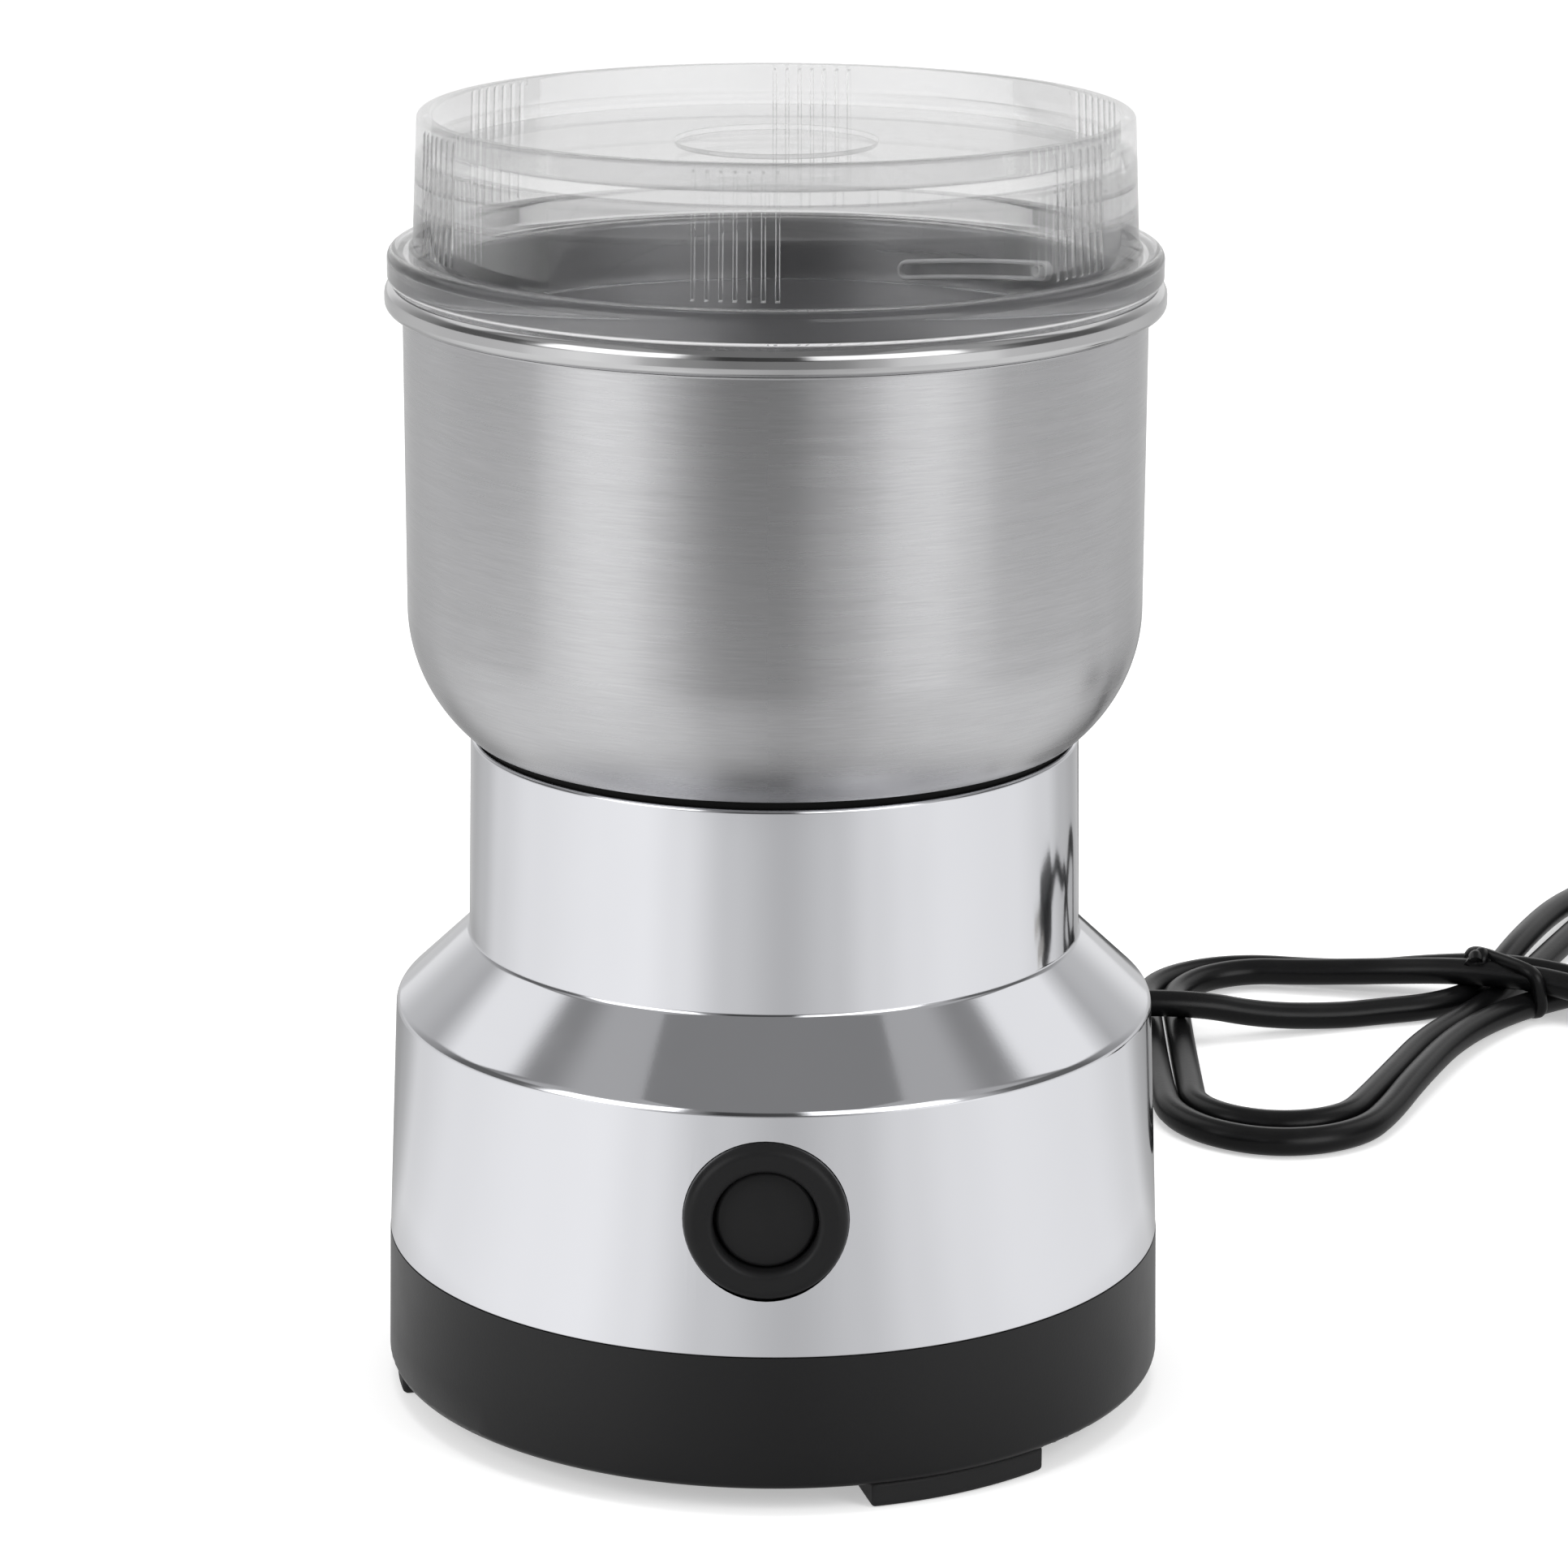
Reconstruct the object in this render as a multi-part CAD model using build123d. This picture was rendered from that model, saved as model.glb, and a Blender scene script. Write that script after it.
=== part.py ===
from build123d import *
import math
import os

# Electric spice grinder. Millimetres, +Z up, the button faces -Y, the origin is on
# the surface that the feet stand on, at the axis of the motor shaft. Angles are
# measured from the front (-Y) towards +X.

# How far a cutting tool runs past the face that it cuts.
cut_reach = 1.0

# ---- Feet and base ----
foot_height = 3.4
foot_rounding = 0.8
foot_sweep = 29.0
foot_depth = 9.0
foot_inset = 1.0
foot_count = 3
first_foot_angle = 30.0

base_radius = 52.0
base_draft = 0.35
base_height = 17.9
base_floor = 2.4
base_rounding = 1.2
lip_height = 3.0
lip_thickness = 1.2
lip_clearance = 0.15
lip_rounding = 0.4
floor_fillet = 1.0

vent_count = 16
vent_width = 2.4
vent_start = 12.0
vent_end = 29.0

base_screw_count = 3
first_base_screw_angle = 90.0
base_screw_inset = 10.0
base_screw_radius = 1.5
base_screw_length = 22.0
base_head_radius = 3.0
base_head_height = 2.2
base_pilot_room = 2.0
counterbore_depth = 5.6
counterbore_clearance = 0.4
boss_radius = 4.2
boss_joint_drop = 3.3
hole_clearance = 0.2
thread_clearance = 0.05

# ---- Housing ----
housing_wall = 2.0
body_inset = 0.4
body_draft = 1.3
body_height = 32.2
shoulder_height = 9.3
shoulder_rounding = 1.8
neck_radius = 40.5
neck_draft = 0.55
neck_height = 26.2
neck_rounding = 0.9
deck_thickness = 2.4
column_web = 2.0

# ---- Bowl, gasket and seal ----
gasket_thickness = 1.8
gasket_inset = 0.65
gasket_width = 5.0
bowl_radius = 48.0
bowl_height = 59.0
bowl_sheet = 1.0
bowl_corner = 21.25
bowl_corner_height = 16.2
bead_reach = 2.3
bead_width = 3.3
bead_height = 3.7
bead_rounding = 1.5
bowl_screw_count = 3
first_bowl_screw_angle = 90.0
bowl_screw_circle = 19.0
bowl_screw_radius = 1.95
bowl_screw_reach = 1.0
bowl_head_radius = 3.6
bowl_head_height = 2.2
deck_boss_radius = 4.6
deck_boss_length = 6.6
seal_radius = 9.0
seal_flange = 1.4
seal_neck_radius = 5.9
seal_rounding = 0.6

# ---- Lid ----
lid_height = 21.4
lid_inset = 1.4
lid_draft = 0.75
lid_wall = 2.0
lid_flange_inset = 0.4
lid_flange_height = 4.2
lid_skirt_depth = 8.4
lid_skirt_clearance = 0.5
lid_panel_drop = 3.7
lid_panel_thickness = 1.6
lid_panel_fillet = 0.6
lid_rim_rounding = 0.7
lid_rim_inner_rounding = 0.5
lid_foot_fillet = 0.6
lid_flange_rounding = 1.2
lid_flange_low_rounding = 0.8
lid_skirt_rounding = 0.5
lid_inner_fillet = 1.0
lid_dish_radius = 13.0
lid_dish_depth = 0.7
lid_rib_groups = 6
first_rib_angle = -5.0
ribs_per_group = 7
rib_pitch = 1.7
rib_width = 0.6
rib_height = 0.35
rib_root = 0.6
lug_start_angle = 125.0
lug_sweep = 34.0
lug_height = 2.8
lug_depth = 0.8
lug_root = 0.3

# ---- Blade ----
blade_lift = 7.4
blade_sheet = 1.5
blade_half_length = 31.0
blade_root_half_width = 5.5
blade_tip_half_width = 3.6
blade_tip_width = 4.4
blade_bend_start = 15.0
blade_up_rise = 5.5
blade_down_drop = 3.6
collar_radius = 5.0
collar_gap = 0.5
collar_rounding = 0.5
shoulder_drop = 1.0
nut_radius = 5.4
nut_height = 5.8
nut_cap = 1.0

# ---- Motor ----
shaft_radius = 3.0
spindle_radius = 2.5
running_clearance = 0.05
mount_thickness = 3.0
mount_radius = 5.6
bracket_sheet = 2.4
bracket_plate_radius = 25.5
upper_leg_height = 11.1
lower_leg_height = 22.1
leg_half_width = 7.0
cooling_hole_circle = 17.0
cooling_hole_radius = 4.0
stack_height = 20.0
stack_length = 56.0
stack_width = 48.0
stack_corner = 6.0
yoke_thickness = 5.0
leg_inset = 0.4
pole_half_width = 8.0
shoe_radius = 17.6
shoe_reach = 8.5
bore_radius = 14.4
air_gap = 0.5
coil_inner_offset = 0.3
coil_thickness = 4.9
coil_band = 6.0
coil_side_band = 6.8
coil_clearance = 0.2
coil_rounding = 4.0
coil_inner_rounding = 0.2
bearing_radius = 6.0
bearing_length = 7.0
cup_wall = 2.2
cup_drop = 3.0
bracket_screw_radius = 1.6
bracket_head_radius = 2.7
bracket_head_height = 2.2
slot_count = 12
slot_width = 2.6
slot_start = 7.5
slot_end = 12.4
slot_mouth = 1.0
slot_clearance = 0.1
winding_end_height = 4.5
winding_inner_clearance = 0.4
commutator_radius = 9.5
commutator_length = 11.4
commutator_bars = 12
commutator_groove = 0.6
commutator_groove_depth = 0.9
brush_lift = 10.2
brush_width = 5.0
brush_height = 7.0
brush_length = 10.0
brush_gap = 0.12
holder_start = 11.4
holder_end = 26.0
holder_half_width = 5.0
holder_top = 4.8
brush_clearance = 0.05
brush_spring_radius = 2.1
brush_spring_wire = 0.3
brush_spring_turns = 5
brush_cap_thickness = 1.4
brush_cap_inset = 0.5
fan_gap = 0.6
fan_height = 7.0
fan_radius = 23.0
fan_disc = 1.2
fan_hub_radius = 5.2
fan_blades = 9
fan_blade_thickness = 1.2
shaft_stub = 0.6

# ---- Push button and switch ----
button_height = 39.3
bezel_radius = 10.4
bezel_proud = 0.98
bezel_flange = 2.35
bezel_barrel_radius = 9.2
bezel_depth = 7.25
bezel_rounding = 1.5
bezel_lip = 4.5
well_radius = 6.65
well_clearance = 0.3
well_rounding = 0.9
button_stroke = 2.0
button_recess = 1.2
button_dome = 0.5
button_rounding = 0.6
button_flange_radius = 7.7
button_flange = 1.2
button_lip_gap = 0.2
button_stem_radius = 2.2
button_stem_clearance = 0.4
button_boss_wall = 4.2
button_boss_depth = 10.85
button_spring_radius = 5.0
button_spring_wire = 0.4
button_spring_turns = 3
button_spring_gap = 0.1
barrel_clearance = 0.1
flange_chamber_radius = 8.1
carrier_thickness = 2.0
carrier_screw_radius = 0.9
carrier_screw_length = 5.0
carrier_head_radius = 1.7
carrier_head_height = 1.2
carrier_pilot_room = 0.4
arm_thickness = 2.0
arm_height = 10.0
switch_gap = 2.3
switch_length = 20.0
switch_height = 11.0
switch_depth = 9.0
plunger_radius = 1.5
plunger_protrusion = 2.3
plunger_length = 6.5
plunger_gap = 0.2
plunger_rounding = 0.5
pin_radius = 1.1
pin_offset = 3.5
pin_setback = 3.0
terminal_width = 4.8
terminal_sheet = 0.8
terminal_drop = 5.0
terminal_offset = 5.5

# ---- Suppressor ----
suppressor_length = 18.0
suppressor_width = 9.0
suppressor_height = 14.0
suppressor_inset = 4.75
suppressor_rounding = 1.0
pocket_wall = 1.4
pocket_height = 4.0
pocket_clearance = 0.1

# ---- Mains lead ----
cord_diameter = 4.4
cord_exit_height = 12.3
gland_flange_radius = 6.5
gland_neck_radius = 4.9
gland_neck_clearance = 0.1
gland_flange = 2.4
gland_collar = 2.6
gland_outer_gap = 0.1
gland_inner_gap = 0.9
gland_rounding = 0.5
gland_length = 28.0
gland_tip_radius = 3.2
gland_grooves = 5
groove_depth = 0.5
groove_width = 1.4
tail_length = 15.0
tail_grip = 2.0
clamp_length = 6.0
clamp_half_width = 9.0
clamp_thickness = 3.6
clamp_split = 0.3
clamp_setback = 8.0
clamp_screw_offset = 6.0
clamp_screw_radius = 1.3
clamp_screw_length = 8.0
clamp_head_radius = 2.4
clamp_head_height = 1.6
clamp_pilot_room = 0.3
wire_radius = 0.9
wire_offset = 1.1
cord_fit = 0.05

# The lead lies beside the body in a bow-shaped hank. The tie is at its middle, and
# each half is a ring round two bends. The second half is the first one turned round.
tie_place = (118.0, 157.0)
hank_back_bend = (73.0, 160.0)
hank_back_radius = 16.7
hank_front_bend = (75.0, 101.0)
hank_front_radius = 18.7
hank_waist_radius = 7.0
hank_band = 11.0
hank_opening_tip = (104.5, 153.0)
hank_opening_rounding = 1.0
hank_layers = 2
hank_rounding = 1.6
lead_in_height = 139.0
tie_width = 3.0
tie_thickness = 1.4
tie_angle = 37.0

# The free stretch from the gland to the hank, and the one from the hank to the plug.
exit_run = 12.0
lead_points = [
    (3.5, 105.5, 8.0),
    (11.0, 119.0, 3.6),
    (23.5, 130.5, 2.2),
]
hank_entry_run = 15.0
hank_exit_run = 12.5
plug_points = [
    (204.0, 174.0, 2.6),
    (212.0, 168.5, 4.2),
    (216.6, 159.8, 6.0),
]
plug_entry = (217.5, 138.0)
plug_entry_run = 11.0

# ---- Mains plug ----
plug_body_length = 36.0
plug_width = 24.0
plug_rear_width = 15.0
plug_thickness = 13.7
plug_relief_length = 12.0
plug_relief_radius = 3.6
plug_rounding = 2.5
plug_edge_rounding = 1.5
plug_taper_length = 20.0
plug_relief_wall = 0.6
plug_relief_root = 1.0
plug_pin_radius = 2.0
plug_pin_length = 19.0
plug_pin_spacing = 18.6
plug_pin_seat = 3.0
plug_pin_rounding = 1.5

# ---- Heights and places worked out from the sizes above ----
base_bottom = foot_height
base_top = base_bottom + base_height
floor_top = base_bottom + base_floor
shoulder_z = base_top + body_height
neck_z = shoulder_z + shoulder_height
deck_top = neck_z + neck_height
deck_bottom = deck_top - deck_thickness
bowl_bottom = deck_top + gasket_thickness
bowl_floor = bowl_bottom + bowl_sheet
bowl_rim = bowl_bottom + bowl_height
lid_top = bowl_rim + lid_height
flange_top = bowl_rim + lid_flange_height
panel_top = lid_top - lid_panel_drop
panel_bottom = panel_top - lid_panel_thickness
skirt_bottom = bowl_rim - lid_skirt_depth
skirt_radius = bowl_radius - bowl_sheet - lid_skirt_clearance

body_radius = base_radius - body_inset
body_top_radius = body_radius - body_draft
neck_top_radius = neck_radius - neck_draft
gasket_radius = neck_top_radius - gasket_inset
bead_radius = bowl_radius + bead_reach
lid_radius = bowl_radius - lid_inset
lid_top_radius = lid_radius - lid_draft
lid_flange_radius = bead_radius - lid_flange_inset

base_screw_circle = base_radius - base_screw_inset
boss_joint = base_top - boss_joint_drop
screw_seat = base_bottom + counterbore_depth
lip_outer = body_radius - housing_wall - lip_clearance
lip_inner = lip_outer - lip_thickness
suppressor_offset = lip_inner - suppressor_inset - suppressor_width / 2

blade_bottom = bowl_floor + blade_lift
blade_top = blade_bottom + blade_sheet
shaft_shoulder = blade_bottom - shoulder_drop
spindle_end = blade_top + nut_height - nut_cap
deck_boss_end = deck_bottom - deck_boss_length
upper_plate_top = deck_boss_end - mount_thickness
upper_plate_bottom = upper_plate_top - bracket_sheet
stack_top = upper_plate_bottom - upper_leg_height
stack_bottom = stack_top - stack_height
lower_plate_top = stack_bottom - lower_leg_height
lower_plate_bottom = lower_plate_top - bracket_sheet
upper_cup_bottom = upper_plate_bottom - cup_drop
lower_cup_bottom = lower_plate_bottom - cup_drop
brush_z = lower_plate_top + brush_lift
fan_top = lower_cup_bottom - fan_gap
fan_bottom = fan_top - fan_height
shaft_bottom = fan_bottom - shaft_stub
core_radius = bore_radius - air_gap
leg_outer = stack_width / 2
leg_inner = leg_outer - yoke_thickness + leg_inset
bracket_screw_offset = (leg_outer + leg_inner) / 2
coil_start = shoe_radius + coil_inner_offset
coil_end = coil_start + coil_thickness
coil_low = stack_bottom - coil_clearance - coil_band

button_wall = body_radius - body_draft * (button_height - base_top) / body_height
bezel_front = button_wall + bezel_proud
bezel_seat = bezel_front - bezel_flange
bezel_barrel_end = bezel_front - bezel_depth
button_boss_end = bezel_front - button_boss_depth
carrier_back = button_boss_end - carrier_thickness
switch_front = carrier_back - switch_gap
switch_back = switch_front - switch_depth
flange_front = bezel_front - bezel_lip - button_lip_gap
flange_back = flange_front - button_flange
stem_end = switch_front + plunger_protrusion + plunger_gap
boss_outer = bezel_barrel_radius + barrel_clearance + button_boss_wall
carrier_screw_offset = bezel_barrel_radius + button_boss_wall / 2
switch_bottom = button_height - switch_height / 2

cord_radius = cord_diameter / 2
wall_inner = base_radius - base_draft
gland_tip = base_radius + gland_length
tail_end = wall_inner - tail_grip
tail_start = tail_end - tail_length
clamp_back = tail_end - clamp_setback
clamp_front = clamp_back - clamp_length
hank_height = hank_layers * cord_diameter
lead_in = hank_back_bend[0] - hank_back_radius


# ---- Shapes used by several pieces ----
def spot(radius, angle, height=0.0):
    """Place at a radius and an angle from the front towards +X."""
    turn = math.radians(angle)
    return Pos(radius * math.sin(turn), -radius * math.cos(turn), height)


def spots(radius, first_angle, count, height=0.0):
    return [spot(radius, first_angle + i * 360 / count, height) for i in range(count)]


def rod(radius, low, high):
    """Upright round bar on the Z axis."""
    return Pos(0, 0, (low + high) / 2) * Cylinder(radius, high - low)


def tube(outer, inner, low, high):
    return rod(outer, low, high) - rod(inner, low, high)


def block(x_low, x_high, y_low, y_high, z_low, z_high):
    middle = Pos((x_low + x_high) / 2, (y_low + y_high) / 2, (z_low + z_high) / 2)
    return middle * Box(x_high - x_low, y_high - y_low, z_high - z_low)


def turned(corners):
    """Solid of revolution about Z from (radius, height, rounding) corners in order."""
    outline = make_face(Polyline(*[(r, z) for r, z, _ in corners], close=True))
    for r, z, rounding in corners:
        if rounding > 0:
            corner = outline.vertices().sort_by_distance((r, z, 0))[0]
            outline = fillet(corner, rounding)
    return revolve(Plane.XZ * outline, Axis.Z, 360)


def to_front(shape, height=0.0):
    """Turns a shape about Z to the axis of the button, where +Z becomes -Y."""
    return Pos(0, 0, height) * Rot(90, 0, 0) * shape


def to_back(shape, height=0.0):
    """Turns a shape about Z to the axis of the lead, where +Z becomes +Y."""
    return Pos(0, 0, height) * Rot(-90, 0, 0) * shape


def coil_spring(radius, wire, turns, length):
    path = Helix(pitch=(length - 2 * wire) / turns, height=length - 2 * wire, radius=radius)
    section = Plane(origin=path @ 0, z_dir=path % 0) * Circle(wire)
    return Pos(0, 0, wire) * sweep(section, path=path, is_frenet=True)


def pan_screw(radius, length, head_radius, head_height):
    """Screw pointing down from a head that sits on z = 0."""
    head = turned(
        [
            (0, 0, 0),
            (head_radius, 0, 0),
            (head_radius, head_height, head_height / 2),
            (0, head_height, 0),
        ]
    )
    recess = Pos(0, 0, head_height) * Box(head_radius * 1.1, radius / 2, head_height)
    cross = Pos(0, 0, head_height) * Box(radius / 2, head_radius * 1.1, head_height)
    return head + rod(radius, -length, 0) - recess - cross


# ---- Base ----
def feet():
    outer = base_radius - foot_inset
    pads = []
    for i in range(foot_count):
        middle = first_foot_angle + i * 360 / foot_count
        ring = turned(
            [
                (outer - foot_depth, 0, foot_rounding),
                (outer, 0, foot_rounding),
                (outer, foot_height, 0),
                (outer - foot_depth, foot_height, 0),
            ]
        )
        turn = math.radians(foot_sweep / 2)
        reach = 2 * base_radius
        wedge = make_face(
            Polyline(
                (0, 0),
                (reach * math.sin(turn), -reach * math.cos(turn)),
                (-reach * math.sin(turn), -reach * math.cos(turn)),
                close=True,
            )
        )
        pads.append(Rot(0, 0, middle) * (ring & extrude(wedge, amount=foot_height)))
    return Compound(children=pads)


def base_cover():
    cover = turned(
        [
            (0, base_bottom, 0),
            (base_radius, base_bottom, base_rounding),
            (base_radius - base_draft, base_top, 0),
            (lip_outer, base_top, 0),
            (lip_outer, base_top + lip_height, lip_rounding),
            (lip_inner, base_top + lip_height, 0),
            (lip_inner, floor_top, floor_fillet),
            (0, floor_top, 0),
        ]
    )
    for place in spots(base_screw_circle, first_base_screw_angle, base_screw_count):
        cover += place * rod(boss_radius, base_bottom, boss_joint)
    cover += cord_saddle()
    cover += suppressor_pocket()
    head_hole = base_head_radius + counterbore_clearance
    for place in spots(base_screw_circle, first_base_screw_angle, base_screw_count):
        cover -= place * rod(base_screw_radius + hole_clearance, base_bottom, boss_joint)
        cover -= place * rod(head_hole, base_bottom, screw_seat)
    middle = (vent_start + vent_end) / 2
    for i in range(vent_count):
        slot = SlotOverall(vent_end - vent_start, vent_width)
        slot = extrude(Pos(middle, 0, base_bottom) * slot, amount=base_floor)
        cover -= Rot(0, 0, (i + 0.5) * 360 / vent_count) * slot
    gland_hole = rod(
        gland_neck_radius + gland_neck_clearance,
        lip_inner - cut_reach,
        base_radius + cut_reach,
    )
    cover -= to_back(gland_hole, cord_exit_height)
    return cover


def cord_saddle():
    """Block on the base floor that carries the tail of the lead."""
    top = cord_exit_height - clamp_split
    saddle = block(
        -clamp_half_width, clamp_half_width, clamp_front, clamp_back, base_bottom, top
    )
    for side in (-1, 1):
        pilot = rod(
            clamp_screw_radius + thread_clearance,
            cord_exit_height + clamp_thickness - clamp_screw_length - clamp_pilot_room,
            cord_exit_height,
        )
        saddle -= Pos(side * clamp_screw_offset, (clamp_front + clamp_back) / 2, 0) * pilot
    return saddle - cord_channel()


def cord_channel():
    channel = rod(
        cord_radius + cord_fit, clamp_front - cut_reach, clamp_back + cut_reach
    )
    return to_back(channel, cord_exit_height)


def suppressor_pocket():
    """Low walls on the base floor, one at each end of the suppressor."""
    pocket = None
    for side in (-1, 1):
        near = suppressor_length / 2 + pocket_clearance
        wall = block(
            -suppressor_offset - suppressor_width / 2,
            -suppressor_offset + suppressor_width / 2,
            min(side * near, side * (near + pocket_wall)),
            max(side * near, side * (near + pocket_wall)),
            base_bottom,
            floor_top + pocket_height,
        )
        pocket = wall if pocket is None else pocket + wall
    return pocket


def base_screws():
    screw = pan_screw(
        base_screw_radius, base_screw_length, base_head_radius, base_head_height
    )
    upside_down = Rot(180, 0, 0) * screw
    places = spots(base_screw_circle, first_base_screw_angle, base_screw_count, screw_seat)
    return Compound(children=[place * upside_down for place in places])


def suppressor():
    body = block(
        -suppressor_offset - suppressor_width / 2,
        -suppressor_offset + suppressor_width / 2,
        -suppressor_length / 2,
        suppressor_length / 2,
        floor_top,
        floor_top + suppressor_height,
    )
    return fillet(body.edges().filter_by(Axis.Z), suppressor_rounding)


# ---- Housing ----
def housing_envelope():
    return turned(
        [
            (0, base_top, 0),
            (body_radius, base_top, 0),
            (body_top_radius, shoulder_z, shoulder_rounding),
            (neck_radius, neck_z, neck_rounding),
            (neck_top_radius, deck_top, neck_rounding),
            (0, deck_top, 0),
        ]
    )


def housing_cavity():
    slope = math.atan2(body_top_radius - neck_radius, shoulder_height)
    shift = housing_wall * math.tan(slope / 2)
    return turned(
        [
            (0, base_top, 0),
            (body_radius - housing_wall, base_top, 0),
            (body_top_radius - housing_wall, shoulder_z - shift, 0),
            (neck_radius - housing_wall, neck_z - shift, 0),
            (neck_top_radius - housing_wall, deck_bottom, 0),
            (0, deck_bottom, 0),
        ]
    )


def housing():
    envelope = housing_envelope()
    shell = envelope - housing_cavity()
    column = rod(boss_radius, boss_joint, neck_z - housing_wall)
    web = block(
        base_screw_circle,
        body_radius,
        -column_web / 2,
        column_web / 2,
        base_top + lip_height + lip_clearance,
        neck_z - housing_wall,
    )
    for i in range(base_screw_count):
        angle = first_base_screw_angle + i * 360 / base_screw_count
        post = spot(base_screw_circle, angle) * column
        shell += post & (envelope + rod(lip_inner - lip_clearance, boss_joint, base_top))
        shell += (Rot(0, 0, angle - 90) * web) & envelope
    button_boss = to_front(rod(boss_outer, button_boss_end, body_radius), button_height)
    shell += button_boss & envelope
    for place in spots(bowl_screw_circle, first_bowl_screw_angle, bowl_screw_count):
        shell += place * rod(deck_boss_radius, deck_boss_end, bowl_bottom)
    return shell - housing_holes()


def housing_holes():
    holes = rod(seal_neck_radius + hole_clearance, deck_bottom, deck_top)
    for place in spots(bowl_screw_circle, first_bowl_screw_angle, bowl_screw_count):
        holes += place * rod(bowl_screw_radius + hole_clearance, deck_boss_end, bowl_bottom)
    pilot_end = screw_seat + base_screw_length + base_pilot_room
    for place in spots(base_screw_circle, first_base_screw_angle, base_screw_count):
        holes += place * rod(base_screw_radius + thread_clearance, boss_joint, pilot_end)
    barrel = bezel_barrel_radius + barrel_clearance
    holes += to_front(rod(barrel, button_boss_end, base_radius), button_height)
    seat = rod(bezel_radius + barrel_clearance, bezel_seat, base_radius)
    holes += to_front(seat, button_height)
    pilot = rod(
        carrier_screw_radius + thread_clearance,
        button_boss_end,
        button_boss_end + carrier_screw_length - carrier_thickness + carrier_pilot_room,
    )
    for side in (-1, 1):
        holes += Pos(side * carrier_screw_offset, 0, 0) * to_front(pilot, button_height)
    return holes


# ---- Bowl ----
def bowl_gasket():
    return tube(gasket_radius, gasket_radius - gasket_width, deck_top, bowl_bottom)


def bowl():
    centre = (bowl_radius - bowl_corner, bowl_bottom + bowl_corner_height)
    inner_corner = bowl_corner - bowl_sheet
    inner_radius = bowl_radius - bowl_sheet
    outer_angle = math.degrees(math.asin(bowl_corner_height / bowl_corner))
    inner_angle = math.degrees(math.asin((bowl_corner_height - bowl_sheet) / inner_corner))
    outer_heel = centre[0] + bowl_corner * math.cos(math.radians(outer_angle))
    inner_heel = centre[0] + inner_corner * math.cos(math.radians(inner_angle))
    outline = [
        Line((0, bowl_bottom), (outer_heel, bowl_bottom)),
        CenterArc(centre, bowl_corner, -outer_angle, outer_angle),
        Line((bowl_radius, centre[1]), (bowl_radius, bowl_rim)),
        Line((bowl_radius, bowl_rim), (inner_radius, bowl_rim)),
        Line((inner_radius, bowl_rim), (inner_radius, centre[1])),
        CenterArc(centre, inner_corner, -inner_angle, inner_angle),
        Line((inner_heel, bowl_floor), (0, bowl_floor)),
        Line((0, bowl_floor), (0, bowl_bottom)),
    ]
    sheet = revolve(Plane.XZ * make_face(Wire(outline)), Axis.Z, 360)
    bead_place = Pos(bead_radius - bead_width / 2, bowl_rim - bead_height / 2)
    bead = bead_place * RectangleRounded(bead_width, bead_height, bead_rounding)
    sheet += revolve(Plane.XZ * bead, Axis.Z, 360)
    sheet -= rod(seal_neck_radius + hole_clearance, bowl_bottom, bowl_floor)
    for place in spots(bowl_screw_circle, first_bowl_screw_angle, bowl_screw_count):
        sheet -= place * rod(bowl_screw_radius + hole_clearance, bowl_bottom, bowl_floor)
    return sheet


def bowl_screws():
    length = bowl_floor - upper_plate_bottom + bowl_screw_reach
    screw = pan_screw(bowl_screw_radius, length, bowl_head_radius, bowl_head_height)
    places = spots(bowl_screw_circle, first_bowl_screw_angle, bowl_screw_count, bowl_floor)
    return Compound(children=[place * screw for place in places])


def shaft_seal():
    bore = shaft_radius + running_clearance
    return turned(
        [
            (bore, deck_bottom, 0),
            (seal_neck_radius, deck_bottom, 0),
            (seal_neck_radius, bowl_floor, 0),
            (seal_radius, bowl_floor, 0),
            (seal_radius, bowl_floor + seal_flange, seal_rounding),
            (bore, bowl_floor + seal_flange, 0),
        ]
    )


# ---- Lid ----
def lid_outer(height):
    """Outer radius of the lid's drafted wall."""
    share = (height - flange_top) / (lid_top - flange_top)
    return lid_radius + share * (lid_top_radius - lid_radius)


def lid():
    cover = turned(
        [
            (0, panel_top, 0),
            (lid_outer(panel_top) - lid_wall, panel_top, lid_panel_fillet),
            (lid_top_radius - lid_wall, lid_top, lid_rim_inner_rounding),
            (lid_top_radius, lid_top, lid_rim_rounding),
            (lid_radius, flange_top, lid_foot_fillet),
            (lid_flange_radius, flange_top, lid_flange_rounding),
            (lid_flange_radius, bowl_rim, lid_flange_low_rounding),
            (skirt_radius, bowl_rim, 0),
            (skirt_radius, skirt_bottom, lid_skirt_rounding),
            (skirt_radius - lid_wall, skirt_bottom, lid_skirt_rounding),
            (lid_outer(panel_bottom) - lid_wall, panel_bottom, lid_inner_fillet),
            (0, panel_bottom, 0),
        ]
    )
    cover -= rod(lid_dish_radius, panel_top - lid_dish_depth, panel_top)
    cover += lid_lug()
    return cover + lid_ribs()


def lid_ribs():
    """Groups of fine upright ribs that stand out of the drafted wall."""
    low = flange_top + lid_foot_fillet
    high = lid_top - lid_rim_rounding
    layer = turned(
        [
            (lid_outer(low) - rib_root, low, 0),
            (lid_outer(low) + rib_height, low, 0),
            (lid_outer(high) + rib_height, high, 0),
            (lid_outer(high) - rib_root, high, 0),
        ]
    )
    plates = []
    step = math.degrees(rib_pitch / lid_radius)
    for group in range(lid_rib_groups):
        middle = first_rib_angle + group * 360 / lid_rib_groups
        for i in range(ribs_per_group):
            angle = middle + (i - (ribs_per_group - 1) / 2) * step
            reach = lid_radius + 2 * rib_height
            plate = block(
                lid_radius - lid_wall, reach, -rib_width / 2, rib_width / 2, low, high
            )
            plates.append(Rot(0, 0, angle - 90) * plate)
    return layer & Compound(plates)


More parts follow.
